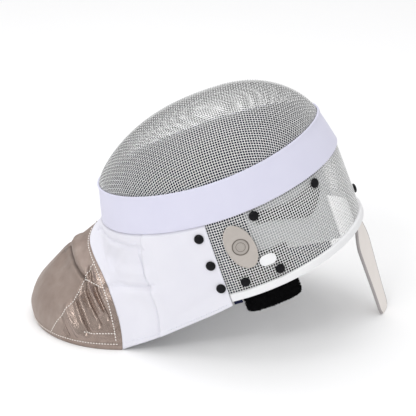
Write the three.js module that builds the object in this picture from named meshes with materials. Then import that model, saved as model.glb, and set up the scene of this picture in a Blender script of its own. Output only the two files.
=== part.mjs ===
// Foil fencing mask lying face up: a woven wire dome and side wall, joined under an
// elastic trim band, with a cloth bib, a back tongue and a head strap.
//
// The mask rests on the hem of its bib and on the foot of its back tongue. +X runs from
// the chin to the crown, +Y to the wearer's right, +Z up; z = 0 is the resting surface.
// Everything round the head is worked out in the mask's own directions, pitched up at
// the crown: u along the ring to the crown, v across, w out through the face.
import * as THREE from 'three';

// ---- driving dimensions, millimetres and degrees ----
const PITCH = THREE.MathUtils.degToRad(19.5);
const RING_CENTRE = { x: -0.65, z: 212 };

// Upper edge of the trim band: half an oval to the crown and half an oval to the chin.
const RING = { crown: 134, chin: 138, side: 100.5, roundness: 1.95 };
const BAND = { depth: 41, topRise: 7, bottomRise: 4.4, thickness: 2.4 };
const BAND_FLARE = { crown: 10, chin: 12.4, side: 10 };
const WALL = { depth: 136, rise: 3.4, bow: 0.63 };
const WALL_FLARE = { crown: 2, chin: 9, side: 10 };
const MESH = { inset: 2.9, thickness: 1.6 };
const DOME = { height: 68.5, peak: 19.5, chinPower: 2.27, crownPower: 2.5, arch: 1.47 };
const DOME_FALL = { chin: 1.18, crown: 1.29 };
const SKIRT_DEPTH = 37;

const RIM = { width: 9.2, thickness: 4.6 };
const LINER = { inset: 5.8, thickness: 4, top: 3, bottom: 42 };
const SIDE_PAD = { inset: 5.2, thickness: 3.6, fromDeg: 38.5, toDeg: 75.5 };
// Levels of the side pad: its edges between its two rivets, and how far each one sags.
const PAD_EDGES = { top: 47.5, topSag: 6, bottom: 62, bottomSag: 18 };
// Two loose layers of cloth inside each side mesh, a white backing against the wires and the
// lining that the wearer's face meets. The backing's lower edge drops towards the crown.
const SIDE_CLOTH_TOP = 44;
const BACKING = { inset: 9.6, thickness: 1.2, fromDeg: 33, toDeg: 80 };
const BACKING_EDGE = { bottom: 90, drop: 0.83, dropFromDeg: 80, lowest: 131 };
const SIDE_LINING = { inset: 11.2, thickness: 1.2, fromDeg: 41, toDeg: 97.5, bottom: 131 };
const LINING_EDGE = { inset: 5.6, thickness: 1.4, fromDeg: 94.4, toDeg: 98.2, top: 44, bottom: 139 };

// The side mesh and rim are open at the chin, where the bib panels take over. The mesh runs
// a little way under the edge of each panel, and the rim stops just short of it.
const PANEL_EDGE_DEG = 98.5;
const MESH_TUCK_DEG = 3;
const RIM_CLEAR_DEG = 0.4;
const GAP = 0.4;

const BIB = { thickness: 1.6, top: 41.6, rows: 10 };
const BIB_LINING = { gap: 1, thickness: 1.2, start: 0.06, end: 0.985 };
// Hem of the bib: straight from the rim down to the floor, then half an oval round the front.
const HEM = {
  backX: 27.75, floorX: -104.25, tipX: -214.25, halfWidth: 94, backHalfWidth: 119, slope: 0.56, sag: 4,
};
// Lines of the bib from the band to the hem, from the side mesh round to the front middle.
// ring: angle on the ring; hem: 0..1 along the straight hem, 1..2 round the oval;
// topOut and topDown lead the cloth out and down from the band, hemOut and hemUp out and up
// from the hem, as the two handles of a curve;
// free: how far the line has left the mask's wall.
const BIB_LINES = [
  { at: 0.0, ring: PANEL_EDGE_DEG, hem: 0.0, topOut: 6, topDown: 31, hemOut: -1, hemUp: 30, free: 0 },
  { at: 0.3, ring: 133, hem: 0.64, topOut: 10, topDown: 39, hemOut: -6, hemUp: 37, free: 1 },
  { at: 0.5, ring: 173, hem: 0.97, topOut: 14, topDown: 20, hemOut: -6, hemUp: 72, free: 1 },
  { at: 0.75, ring: 177, hem: 1.5, topOut: 26, topDown: 30, hemOut: 14, hemUp: 54, free: 1 },
  { at: 1.0, ring: 180, hem: 2.0, topOut: 31, topDown: 27, hemOut: 28, hemUp: 40, free: 1 },
];
// Seams, as places round the bib: panel to front is a straight line down, and the seam from
// the front to the lame sweeps from the front middle at the band out to the side at the hem.
const SEAM = { panelToFront: 0.3, frontToLame: 0.5, sweep: 0.81, sweepDown: 0.19, gap: 0.0015 };
// The hem's cloth leads a little towards the chin where it leaves the straight hem.
const HEM_LEAN = -0.2;
// How far apart two places on the bib are taken to find the way out of the cloth there.
const BIB_STEP = 0.004;
const LAME_FIRST_ROW = 1;
// Main folds of the cloth, each along a line from one place on the bib to another. width is
// the half width of the fold and height how far it stands out (negative for a dent), in mm.
const BIB_FOLDS = [
  { side: -1, round: [0.92, 0.55], down: [0.36, 0.62], width: 9, height: 3 },
  { side: -1, round: [0.9, 0.6], down: [0.5, 0.72], width: 12, height: -3 },
  { side: -1, round: [0.36, 0.46], down: [0.2, 0.42], width: 9, height: -2 },
  { side: 1, round: [0.88, 0.58], down: [0.42, 0.66], width: 10, height: 2.5 },
  { side: 1, round: [0.84, 0.62], down: [0.56, 0.76], width: 12, height: -2.5 },
  { side: 1, round: [0.38, 0.46], down: [0.24, 0.46], width: 9, height: -2 },
];
// Lengths of cloth that one unit of round and one of down stand for near the folds.
const BIB_SCALE = { round: 300, down: 150 };

const RIVET = { radius: 5.5, height: 3.4, brim: 0.8 };
// Rivets of one side, by what they hold.
const RIVET_ROWS = [
  { name: 'panel_rivet_top', u: -32, w: -54 },
  { name: 'panel_rivet_middle', u: -30, w: -87 },
  { name: 'panel_rivet_bottom', u: -28, w: -116 },
  { name: 'strap_rivet_front', u: 0, w: -117.5 },
  { name: 'strap_rivet_back', u: 41.6, w: -117 },
  { name: 'pad_rivet_front', u: 33.4, w: -49 },
  { name: 'pad_rivet_back', u: 107, w: -49 },
];
const CROWN_RIVET_W = -102;

const PLATE = { length: 54, width: 32, thickness: 1, u: 8.4, w: -76.5, turn: 12, seat: 1.1 };
const TAB = { length: 19.5, width: 12.5, thickness: 1.6, u: 32.2, w: -101.3, seat: 0.8 };

// The tongue hangs from one rivet, so below the rim it has turned about its own length.
const TONGUE = { halfWidth: 20, footHalfWidth: 13, thickness: 4, clearance: 6.5, topW: -88, footX: 214.25 };
const TONGUE_END = { rounding: 11, halfWidth: 0.55, places: [0, 0.15, 0.4, 0.7, 1] };
const TONGUE_TURN = { degrees: 23, from: 0.2, to: 0.5 };
// The tongue leaves the rim level in a curve that starts this far below it, reaches this
// share of the way to its foot, and narrows from the same share on.
const TONGUE_BEND = { drop: 14, share: 0.3 };
const TONGUE_ROWS = 11;
const STRAP = { fromU: -9, toU: 57, inset: 5.2, thickness: 4, topW: -93, bottomW: -157.5, corner: 7 };

// ---- the mask's own directions ----
function place(u, v, w) {
  return new THREE.Vector3(
    RING_CENTRE.x + u * Math.cos(PITCH) - w * Math.sin(PITCH),
    v,
    RING_CENTRE.z + u * Math.sin(PITCH) + w * Math.cos(PITCH),
  );
}

const lerp = THREE.MathUtils.lerp;
const clamp = THREE.MathUtils.clamp;
const signedPower = (x, p) => Math.sign(x) * Math.abs(x) ** p;

// Reaches of the outer skin at a level w, less an inset towards the head.
function reaches(w, inset) {
  const inBand = clamp(-w / BAND.depth, 0, 1);
  const below = Math.max(-w - BAND.depth, 0) / (WALL.depth - BAND.depth);
  const bowed = below * (1 + WALL.bow) - WALL.bow * below ** 2;
  return {
    crown: RING.crown + BAND_FLARE.crown * inBand + WALL_FLARE.crown * bowed - inset,
    chin: RING.chin + BAND_FLARE.chin * inBand + WALL_FLARE.chin * below - inset,
    side: RING.side + BAND_FLARE.side * inBand + WALL_FLARE.side * bowed - inset,
  };
}

// A point of the wall at a ring angle (0 at the crown, 180 at the chin) and a level.
function onWall(deg, w, inset) {
  const angle = THREE.MathUtils.degToRad(deg);
  const reach = reaches(w, inset);
  const along = Math.cos(angle) > 0 ? reach.crown : reach.chin;
  const u = along * signedPower(Math.cos(angle), 2 / RING.roundness);
  const v = reach.side * signedPower(Math.sin(angle), 2 / RING.roundness);
  return place(u, v, w);
}

// An edge that runs round the ring, raised at the crown and at the chin.
const edgeLevel = (deg, w, rise) => w + rise * Math.cos(THREE.MathUtils.degToRad(deg)) ** 2;

// The ring angle at which the wall reaches a given u on the wearer's right side.
function degAt(u, w) {
  const reach = reaches(w, 0);
  const along = u > 0 ? reach.crown : reach.chin;
  const cosine = signedPower(u / along, RING.roundness / 2);
  return THREE.MathUtils.radToDeg(Math.acos(cosine));
}

// ---- making closed solids ----
function solid(points, triangles) {
  const geometry = new THREE.BufferGeometry();
  geometry.setAttribute('position', new THREE.Float32BufferAttribute(points.flatMap((p) => p.toArray()), 3));
  geometry.setIndex(triangles.flat());
  geometry.computeVertexNormals();
  return geometry;
}

// A sheet between two grids of points, outer and inner, closed along its edges.
// rows[i][j] are the outer points; a closed sheet joins its last column to its first.
function sheetSolid(outer, inner, closed) {
  const rows = outer.length;
  const columns = outer[0].length;
  const points = [...outer.flat(), ...inner.flat()];
  const index = (layer, i, j) => layer * rows * columns + i * columns + (j % columns);
  const triangles = [];
  const quad = (a, b, c, d) => triangles.push([a, b, c], [a, c, d]);
  const lastColumn = closed ? columns : columns - 1;
  for (let i = 0; i < rows - 1; i++) {
    for (let j = 0; j < lastColumn; j++) {
      quad(index(0, i, j), index(0, i + 1, j), index(0, i + 1, j + 1), index(0, i, j + 1));
      quad(index(1, i, j), index(1, i, j + 1), index(1, i + 1, j + 1), index(1, i + 1, j));
    }
  }
  for (let j = 0; j < lastColumn; j++) {
    quad(index(0, 0, j), index(0, 0, j + 1), index(1, 0, j + 1), index(1, 0, j));
    quad(index(0, rows - 1, j), index(1, rows - 1, j), index(1, rows - 1, j + 1), index(0, rows - 1, j + 1));
  }
  if (!closed) {
    for (let i = 0; i < rows - 1; i++) {
      quad(index(0, i, 0), index(1, i, 0), index(1, i + 1, 0), index(0, i + 1, 0));
      const end = columns - 1;
      quad(index(0, i, end), index(0, i + 1, end), index(1, i + 1, end), index(1, i, end));
    }
  }
  return solid(points, triangles);
}

const steps = (count) => Array.from({ length: count + 1 }, (_, i) => i / count);

// A wall piece between two edges, each a function of the ring angle in degrees.
function wallSheet({ from, to, top, bottom, inset, thickness, columns, rows, closed = false }) {
  const degs = steps(columns).map((t) => lerp(from, to, t));
  if (closed) degs.pop();
  const grid = (depth) => steps(rows).map((t) => degs.map(
    (deg) => onWall(deg, lerp(top(deg), bottom(deg), t), depth),
  ));
  return sheetSolid(grid(inset), grid(inset + thickness), closed);
}

const meshes = [];
function part(name, geometry, material) {
  const mesh = new THREE.Mesh(geometry, material.clone());
  mesh.name = name;
  meshes.push(mesh);
  return mesh;
}

// ---- materials ----
function finish(color, roughness, metalness) {
  return new THREE.MeshStandardMaterial({ color, roughness, metalness });
}

const whiteWire = finish(0xeceded, 0.45, 0.1);
const lilacElastic = finish(0xe2e1f1, 0.7, 0);
const whitePlastic = finish(0xebecef, 0.4, 0);
const whiteCloth = finish(0xeceaf4, 0.85, 0);
const lameCloth = finish(0xb3a197, 0.4, 0.5);
const navyCloth = finish(0x15172b, 0.9, 0);
const blackFoam = finish(0x0a0a0c, 0.95, 0);
const blackEnamel = finish(0x08080a, 0.15, 0);
const blackPile = finish(0x09090a, 1, 0);
const paleMetal = finish(0xbcb3af, 0.35, 0.8);
const whitePadding = finish(0xe0dad6, 0.7, 0);

// ---- wire basket ----
// Height of the dome over the ring plane: a lengthwise profile, arched from side to side.
function domeHeight(u, v, reach) {
  const along = u > 0 ? reach.crown : reach.chin;
  const narrowed = Math.max(1 - Math.abs(u / along) ** RING.roundness, 0);
  const halfWidth = reach.side * narrowed ** (1 / RING.roundness);
  const toCrown = u > DOME.peak;
  const x = toCrown
    ? (u - DOME.peak) / (reach.crown - DOME.peak)
    : (DOME.peak - u) / (reach.chin + DOME.peak);
  const power = toCrown ? DOME.crownPower : DOME.chinPower;
  const fall = toCrown ? DOME_FALL.crown : DOME_FALL.chin;
  const profile = Math.max(1 - clamp(x, 0, 1) ** power, 0) ** (1 / fall);
  const across = halfWidth > 0 ? Math.min(Math.abs(v) / halfWidth, 1) : 1;
  return reach.height * profile * Math.sqrt(1 - across ** DOME.arch) + BAND.topRise * (u / along) ** 2;
}

// The dome and the skirt that runs down behind the band, as one pressed wire shell.
function faceMeshGeometry() {
  const columns = 56;
  const domeRows = 9;
  const skirtRows = 2;
  const layer = (inset, height) => {
    const reach = { ...reaches(0, inset), height };
    const points = [];
    const ring = (make) => {
      for (let j = 0; j < columns; j++) points.push(make((360 * j) / columns));
    };
    points.push(place(0, 0, domeHeight(0, 0, reach)));
    for (let i = 1; i <= domeRows; i++) {
      const rho = Math.sin(((i / domeRows) * Math.PI) / 2);
      ring((deg) => {
        const angle = THREE.MathUtils.degToRad(deg);
        const along = Math.cos(angle) > 0 ? reach.crown : reach.chin;
        const u = rho * along * signedPower(Math.cos(angle), 2 / RING.roundness);
        const v = rho * reach.side * signedPower(Math.sin(angle), 2 / RING.roundness);
        return place(u, v, domeHeight(u, v, reach));
      });
    }
    for (let i = 1; i <= skirtRows; i++) {
      ring((deg) => onWall(deg, edgeLevel(deg, (-SKIRT_DEPTH * i) / skirtRows, BAND.bottomRise), inset));
    }
    return points;
  };
  const outer = layer(MESH.inset, DOME.height);
  const inner = layer(MESH.inset + MESH.thickness, DOME.height - MESH.thickness);
  const rings = domeRows + skirtRows;
  const at = (side, i, j) => side * outer.length + 1 + (i - 1) * columns + (j % columns);
  const triangles = [];
  for (let j = 0; j < columns; j++) {
    triangles.push([0, at(0, 1, j), at(0, 1, j + 1)]);
    triangles.push([outer.length, at(1, 1, j + 1), at(1, 1, j)]);
    for (let i = 1; i < rings; i++) {
      triangles.push([at(0, i, j), at(0, i + 1, j), at(0, i + 1, j + 1)]);
      triangles.push([at(0, i, j), at(0, i + 1, j + 1), at(0, i, j + 1)]);
      triangles.push([at(1, i, j), at(1, i + 1, j + 1), at(1, i + 1, j)]);
      triangles.push([at(1, i, j), at(1, i, j + 1), at(1, i + 1, j + 1)]);
    }
    triangles.push([at(0, rings, j), at(1, rings, j), at(1, rings, j + 1)]);
    triangles.push([at(0, rings, j), at(1, rings, j + 1), at(0, rings, j + 1)]);
  }
  return solid([...outer, ...inner], triangles);
}

function addWireBasket() {
  part('face_mesh', faceMeshGeometry(), whiteWire);
  const meshEnd = PANEL_EDGE_DEG + MESH_TUCK_DEG;
  part('side_mesh', wallSheet({
    from: -meshEnd,
    to: meshEnd,
    top: (deg) => edgeLevel(deg, -SKIRT_DEPTH - GAP, BAND.bottomRise),
    bottom: (deg) => edgeLevel(deg, -WALL.depth + RIM.width + GAP, WALL.rise),
    inset: MESH.inset,
    thickness: MESH.thickness,
    columns: 44,
    rows: 4,
  }), whiteWire);
}

// ---- band, rim and padding ----
function addTrim() {
  part('trim_band', wallSheet({
    from: 0,
    to: 360,
    top: (deg) => edgeLevel(deg, 0, BAND.topRise),
    bottom: (deg) => edgeLevel(deg, -BAND.depth, BAND.bottomRise),
    inset: 0,
    thickness: BAND.thickness,
    columns: 56,
    rows: 2,
    closed: true,
  }), lilacElastic);
  const rimEnd = PANEL_EDGE_DEG - RIM_CLEAR_DEG;
  part('rim_binding', wallSheet({
    from: -rimEnd,
    to: rimEnd,
    top: (deg) => edgeLevel(deg, -WALL.depth + RIM.width, WALL.rise),
    bottom: (deg) => edgeLevel(deg, -WALL.depth, WALL.rise),
    inset: 0,
    thickness: RIM.thickness,
    columns: 44,
    rows: 1,
  }), whitePlastic);
}

// How far along the side pad a ring angle is, from its front rivet to its back one.
function padShare(deg) {
  return (SIDE_PAD.toDeg - Math.abs(deg)) / (SIDE_PAD.toDeg - SIDE_PAD.fromDeg);
}

function backingBottom(deg) {
  const drop = BACKING_EDGE.drop * Math.max(BACKING_EDGE.dropFromDeg - Math.abs(deg), 0);
  return -Math.min(BACKING_EDGE.bottom + drop, BACKING_EDGE.lowest);
}

function addPadding() {
  const sideLayers = [
    { name: 'side_backing', size: BACKING, bottom: backingBottom, material: whiteCloth },
    { name: 'side_lining', size: SIDE_LINING, bottom: () => -SIDE_LINING.bottom, material: navyCloth },
  ];
  part('face_liner', wallSheet({
    from: 0,
    to: 360,
    top: (deg) => edgeLevel(deg, -LINER.top, BAND.topRise),
    bottom: (deg) => edgeLevel(deg, -LINER.bottom, BAND.bottomRise),
    inset: LINER.inset,
    thickness: LINER.thickness,
    columns: 48,
    rows: 2,
    closed: true,
  }), navyCloth);
  for (const [side, sign] of [['left', -1], ['right', 1]]) {
    const ends = (low, high) => (sign > 0 ? { from: low, to: high } : { from: -high, to: -low });
    const layer = (name, sizes, material) => part(`${name}_${side}`, wallSheet(sizes), material);
    layer('side_pad', {
      ...ends(SIDE_PAD.fromDeg, SIDE_PAD.toDeg),
      top: (deg) => -PAD_EDGES.top - PAD_EDGES.topSag * Math.sin(Math.PI * padShare(deg)),
      bottom: (deg) => -PAD_EDGES.bottom - PAD_EDGES.bottomSag * Math.sin(Math.PI * padShare(deg) ** 2),
      inset: SIDE_PAD.inset,
      thickness: SIDE_PAD.thickness,
      columns: 12,
      rows: 2,
    }, blackFoam);
    for (const { name, size, bottom, material } of sideLayers) {
      layer(name, {
        ...ends(size.fromDeg, size.toDeg),
        top: () => -SIDE_CLOTH_TOP,
        bottom,
        inset: size.inset,
        thickness: size.thickness,
        columns: 14,
        rows: 2,
      }, material);
    }
    layer('lining_edge', {
      ...ends(LINING_EDGE.fromDeg, LINING_EDGE.toDeg),
      top: () => -LINING_EDGE.top,
      bottom: () => -LINING_EDGE.bottom,
      inset: LINING_EDGE.inset,
      thickness: LINING_EDGE.thickness,
      columns: 2,
      rows: 4,
    }, navyCloth);
  }
}

// ---- bib ----
const smooth = (t) => t * t * (3 - 2 * t);
const downTheWall = place(0, 0, -1).sub(place(0, 0, 0));

const ROUND_SLACK = 1e-9;

// The row of BIB_LINES at a place round the bib, worked out between its neighbours.
function bibLine(round) {
  const next = Math.max(1, BIB_LINES.findIndex((row) => row.at >= round - ROUND_SLACK));
  const [a, b] = [BIB_LINES[next - 1], BIB_LINES[next]];
  const t = (round - a.at) / (b.at - a.at);
  const between = (key) => lerp(a[key], b[key], t);
  return {
    ring: between('ring'),
    hem: between('hem'),
    topOut: between('topOut'),
    topDown: between('topDown'),
    hemOut: between('hemOut'),
    hemUp: between('hemUp'),
    free: lerp(a.free, b.free, smooth(t)),
  };
}

// A point of the hem, and the direction out from it along the floor.
function hemPoint(step) {
  if (step <= 1) {
    const x = lerp(HEM.backX, HEM.floorX, step);
    const y = lerp(HEM.backHalfWidth, HEM.halfWidth, step);
    const z = (x - HEM.floorX) * HEM.slope - HEM.sag * Math.sin(step * Math.PI);
    return { point: new THREE.Vector3(x, y, z), out: new THREE.Vector3(HEM_LEAN, 1, 0) };
  }
  const angle = (step - 1) * (Math.PI / 2);
  const length = HEM.floorX - HEM.tipX;
  const point = new THREE.Vector3(HEM.floorX - length * Math.sin(angle), HEM.halfWidth * Math.cos(angle), 0);
  return { point, out: new THREE.Vector3(-Math.sin(angle), Math.cos(angle), 0) };
}

// The bib's outer face without its folds. side: 1 for the wearer's right, -1 for the left;
// round: 0 at the side mesh, 1 at the front middle; down: 0 at the band, 1 at the hem.
function bibBase(side, round, down) {
  const line = bibLine(round);
  const topLevel = edgeLevel(line.ring, -BIB.top, BAND.bottomRise);
  const hem = hemPoint(line.hem);
  const fromCentre = { x: hem.point.x - RING_CENTRE.x, z: hem.point.z - RING_CENTRE.z };
  const hemLevel = fromCentre.z * Math.cos(PITCH) - fromCentre.x * Math.sin(PITCH);
  const wall = onWall(line.ring, lerp(topLevel, hemLevel, down), 0);
  const top = onWall(line.ring, topLevel, 0);
  const angle = THREE.MathUtils.degToRad(line.ring);
  const outTop = new THREE.Vector3(Math.cos(angle), Math.sin(angle), 0);
  const curve = new THREE.CubicBezierCurve3(
    top,
    top.clone().addScaledVector(outTop, line.topOut).addScaledVector(downTheWall, line.topDown),
    hem.point.clone().addScaledVector(hem.out, line.hemOut).add(new THREE.Vector3(0, 0, line.hemUp)),
    hem.point,
  );
  const point = wall.lerp(curve.getPoint(down), line.free);
  point.y *= side;
  return point;
}

function foldHeight(side, round, down) {
  const here = new THREE.Vector2(round * BIB_SCALE.round, down * BIB_SCALE.down);
  let height = 0;
  for (const fold of BIB_FOLDS) {
    if (fold.side !== side) continue;
    const start = new THREE.Vector2(fold.round[0] * BIB_SCALE.round, fold.down[0] * BIB_SCALE.down);
    const run = new THREE.Vector2(fold.round[1] * BIB_SCALE.round, fold.down[1] * BIB_SCALE.down).sub(start);
    const t = clamp(here.clone().sub(start).dot(run) / run.lengthSq(), 0, 1);
    const distance = start.addScaledVector(run, t).distanceTo(here);
    height += fold.height * Math.exp(-((distance / fold.width) ** 2));
  }
  return height;
}

// A point of the bib at a depth under its outer face, kept on or above the floor.
function onBib(side, round, down, depth) {
  const step = BIB_STEP;
  const at = (r, d) => bibBase(side, clamp(r, 0, 1), d);
  const here = at(round, down);
  const acrossStep = round > 1 - step ? at(1 - 2 * step, down) : at(round + step, down);
  const across = acrossStep.sub(here).multiplyScalar(round > 1 - step ? -1 : 1);
  if (round > 1 - step) across.set(0, -side, 0);
  const along = at(round, down + step).sub(at(round, down - step));
  const normal = along.cross(across).multiplyScalar(side).normalize();
  here.addScaledVector(normal, foldHeight(side, round, down) - depth);
  // The cut edge of the hem is level, so that its front stretch lies flat on the floor.
  return here.setZ(down < 1 ? Math.max(here.z, 0) : hemPoint(bibLine(round).hem).point.z);
}

// Part of the bib. Its columns run from one place round it to another, on one side or,
// for a piece over the front middle, from one side to the other.
function bibSheet({ columns, depth, thickness, firstRow = 0, endDown = 1 }) {
  const downs = steps(BIB.rows).slice(firstRow).map((t) => Math.min(t, endDown));
  const row = (down, d) => columns.map(({ side, round }) => onBib(side, round(down), down, d));
  const grid = (d) => downs.map((down) => row(down, d));
  return sheetSolid(grid(depth), grid(depth + thickness), false);
}

const lameSeam = (down) => Math.min(1, SEAM.frontToLame + SEAM.sweep * Math.exp(-down / SEAM.sweepDown));

function columnsBetween(side, from, to, count) {
  const columns = steps(count).map((t) => ({ side, round: (down) => lerp(from(down), to(down), t) }));
  return side > 0 ? columns : columns.reverse();
}

const panelEdge = () => 0;
const panelSeam = () => SEAM.panelToFront - SEAM.gap;
const frontSeam = () => SEAM.panelToFront + SEAM.gap;
const frontEnd = (down) => lameSeam(down) - SEAM.gap;
const lameStart = (down) => Math.min(lameSeam(down) + SEAM.gap, 1 - SEAM.gap);
const middle = () => 1;

function addBib() {
  for (const [name, side] of [['left', -1], ['right', 1]]) {
    part(`bib_panel_${name}`, bibSheet({
      columns: columnsBetween(side, panelEdge, panelSeam, 6),
      depth: 0,
      thickness: BIB.thickness,
    }), whiteCloth);
    part(`bib_front_${name}`, bibSheet({
      columns: columnsBetween(side, frontSeam, frontEnd, 7),
      depth: 0,
      thickness: BIB.thickness,
    }), whiteCloth);
  }
  const lameSide = (side) => columnsBetween(side, lameStart, middle, 10);
  part('bib_lame', bibSheet({
    columns: [...lameSide(1), ...lameSide(-1).slice(1)],
    depth: 0,
    thickness: BIB.thickness,
    firstRow: LAME_FIRST_ROW,
  }), lameCloth);
  const liningSide = (side) => {
    const behindPanel = columnsBetween(1, () => BIB_LINING.start, () => SEAM.panelToFront, 5);
    const behindFront = columnsBetween(1, () => SEAM.panelToFront, lameSeam, 7).slice(1);
    const behindLame = columnsBetween(1, lameSeam, middle, 10).slice(1);
    const columns = [...behindPanel, ...behindFront, ...behindLame].map((column) => ({ ...column, side }));
    return side > 0 ? columns : columns.reverse();
  };
  part('bib_lining', bibSheet({
    columns: [...liningSide(1), ...liningSide(-1).slice(1)],
    depth: BIB.thickness + BIB_LINING.gap,
    thickness: BIB_LINING.thickness,
    firstRow: LAME_FIRST_ROW,
    endDown: BIB_LINING.end,
  }), navyCloth);
}

// ---- hardware ----
// Half the stretch of wall, in degrees and in millimetres, that a fitting lies flat on.
const SEAT_REACH = 0.5;
// How far a fitting on the crown line stays from the wall's very end.
const CROWN_SLACK = 1e-6;

// Turns a piece made flat on the XY plane so that it lies on the wall, facing outwards.
function seatOnWall(mesh, side, u, w, inset) {
  const deg = degAt(u, w) * side;
  const here = onWall(deg, w, inset);
  const away = (turn, rise) => onWall(deg + turn, w + rise, inset);
  const round = away(SEAT_REACH, 0).sub(away(-SEAT_REACH, 0)).normalize();
  const up = away(0, SEAT_REACH).sub(away(0, -SEAT_REACH)).normalize();
  const out = round.clone().cross(up).normalize();
  mesh.matrixAutoUpdate = false;
  mesh.matrix.makeBasis(round, out.clone().cross(round), out).setPosition(here);
  return mesh;
}

function rivetGeometry() {
  const profile = [new THREE.Vector2(0, 0), new THREE.Vector2(RIVET.radius, 0)];
  for (const t of steps(4)) {
    const angle = (t * Math.PI) / 2;
    const x = t === 1 ? 0 : RIVET.radius * Math.cos(angle);
    profile.push(new THREE.Vector2(x, RIVET.brim + (RIVET.height - RIVET.brim) * Math.sin(angle)));
  }
  return new THREE.LatheGeometry(profile, 14).rotateX(Math.PI / 2);
}

function addRivets() {
  for (const [name, side] of [['left', -1], ['right', 1]]) {
    for (const row of RIVET_ROWS) {
      const onPanel = row.name.startsWith('panel');
      const mesh = part(`${row.name}_${name}`, rivetGeometry(), blackEnamel);
      seatOnWall(mesh, side, row.u, row.w, onPanel ? -GAP : MESH.inset - GAP);
    }
  }
  const crownU = reaches(CROWN_RIVET_W, 0).crown - CROWN_SLACK;
  seatOnWall(part('crown_rivet', rivetGeometry(), blackEnamel), 1, crownU, CROWN_RIVET_W, MESH.inset - GAP);
}

function plateGeometry() {
  const outline = new THREE.Shape();
  outline.absellipse(0, 0, PLATE.width / 2, PLATE.length / 2, 0, 2 * Math.PI);
  const extrusion = { depth: PLATE.thickness, bevelEnabled: false, curveSegments: 32 };
  return new THREE.ExtrudeGeometry(outline, extrusion);
}

function tabGeometry() {
  const outline = new THREE.Shape();
  const half = TAB.length / 2 - TAB.width / 2;
  outline.absarc(half, 0, TAB.width / 2, -Math.PI / 2, Math.PI / 2);
  outline.absarc(-half, 0, TAB.width / 2, Math.PI / 2, (3 * Math.PI) / 2);
  return new THREE.ExtrudeGeometry(outline, { depth: TAB.thickness, bevelEnabled: false, curveSegments: 8 });
}

function addLabels() {
  const turned = plateGeometry().rotateZ(THREE.MathUtils.degToRad(PLATE.turn));
  seatOnWall(part('oval_plate', turned, paleMetal), -1, PLATE.u, PLATE.w, MESH.inset - PLATE.seat);
  seatOnWall(part('side_tab', tabGeometry(), whitePlastic), -1, TAB.u, TAB.w, MESH.inset - TAB.seat);
}

// ---- back tongue and straps ----
// A ribbon of even thickness along a path: each row has its middle point, the direction out
// of its face and half its width across. It stands on the floor where it would pass below.
function ribbon(rows, places, thickness) {
  const layer = (offset) => rows.map(({ point, out, across }) => places.map((s) => {
    const shifted = point.clone().addScaledVector(out, offset).addScaledVector(across, s);
    return shifted.setZ(Math.max(shifted.z, 0));
  }));
  return sheetSolid(layer(thickness / 2), layer(-thickness / 2), false);
}

function tongueGeometry() {
  const topU = reaches(TONGUE.topW, 0).crown - MESH.inset - TONGUE.clearance - TONGUE.thickness / 2;
  const rimLevel = -WALL.depth + WALL.rise;
  const top = place(topU, 0, TONGUE.topW);
  const atRim = place(topU, 0, rimLevel);
  const knee = place(topU, 0, rimLevel - TONGUE_BEND.drop);
  const foot = new THREE.Vector3(TONGUE.footX, 0, 0);
  const pastKnee = knee.clone().lerp(foot, TONGUE_BEND.share);
  const path = new THREE.CurvePath();
  path.add(new THREE.LineCurve3(top, atRim));
  path.add(new THREE.QuadraticBezierCurve3(atRim, knee, pastKnee));
  path.add(new THREE.LineCurve3(pastKnee, foot));
  const roundedEnd = TONGUE_END.rounding;
  const total = path.getLength();
  const rounding = TONGUE_END.places.map((t) => (t * roundedEnd) / total);
  const straight = steps(TONGUE_ROWS).slice(1, -1);
  const middle = straight.map((t) => lerp(roundedEnd / total, 1 - roundedEnd / total, t));
  const places = [...rounding, ...middle, ...rounding.map((t) => 1 - t).reverse()];
  const rows = places.map((t) => {
    const along = path.getTangentAt(t);
    const turn = smooth(clamp((t - TONGUE_TURN.from) / (TONGUE_TURN.to - TONGUE_TURN.from), 0, 1));
    const across = new THREE.Vector3(0, 1, 0);
    across.applyAxisAngle(along, turn * THREE.MathUtils.degToRad(TONGUE_TURN.degrees));
    const fromEnd = Math.min(t, 1 - t) * total;
    const x = clamp(1 - fromEnd / roundedEnd, 0, 1);
    const narrowing = smooth(clamp((t - TONGUE_BEND.share) / (1 - TONGUE_BEND.share), 0, 1));
    const taper = lerp(TONGUE.halfWidth, TONGUE.footHalfWidth, narrowing);
    const halfWidth = taper * lerp(TONGUE_END.halfWidth, 1, Math.sqrt(1 - x * x));
    const out = along.clone().cross(across).negate();
    return { point: path.getPointAt(t), out, across: across.multiplyScalar(halfWidth) };
  });
  return ribbon(rows, steps(4).map((s) => lerp(1, -1, s)), TONGUE.thickness);
}

// Levels down a strap's rounded corner, as shares of the corner's radius.
const STRAP_CORNER_LEVELS = [1, 0.8, 0.45, 0.2, 0];

// A strap end inside the wall: its lower corners are rounded off.
function strapGeometry(side) {
  const half = (STRAP.toU - STRAP.fromU) / 2;
  const middleU = STRAP.fromU + half;
  const corners = STRAP_CORNER_LEVELS.map((t) => STRAP.bottomW + STRAP.corner * t);
  const levels = [...steps(3).slice(0, -1).map((t) => lerp(STRAP.topW, corners[0], t)), ...corners];
  const layer = (depth) => levels.map((w) => {
    const intoCorner = clamp((STRAP.bottomW + STRAP.corner - w) / STRAP.corner, 0, 1);
    const reach = half - STRAP.corner * (1 - Math.sqrt(1 - intoCorner ** 2));
    const along = steps(6).map((t) => middleU + side * lerp(reach, -reach, t));
    return along.map((u) => onWall(side * degAt(u, w), w, depth));
  });
  return sheetSolid(layer(STRAP.inset), layer(STRAP.inset + STRAP.thickness), false);
}

function addBack() {
  part('back_tongue', tongueGeometry(), whitePadding);
  part('strap_left', strapGeometry(-1), blackPile);
  part('strap_right', strapGeometry(1), blackPile);
}

addWireBasket();
addTrim();
addPadding();
addBib();
addRivets();
addLabels();
addBack();

const group = new THREE.Group();
group.add(...meshes);
export default group;
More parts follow.
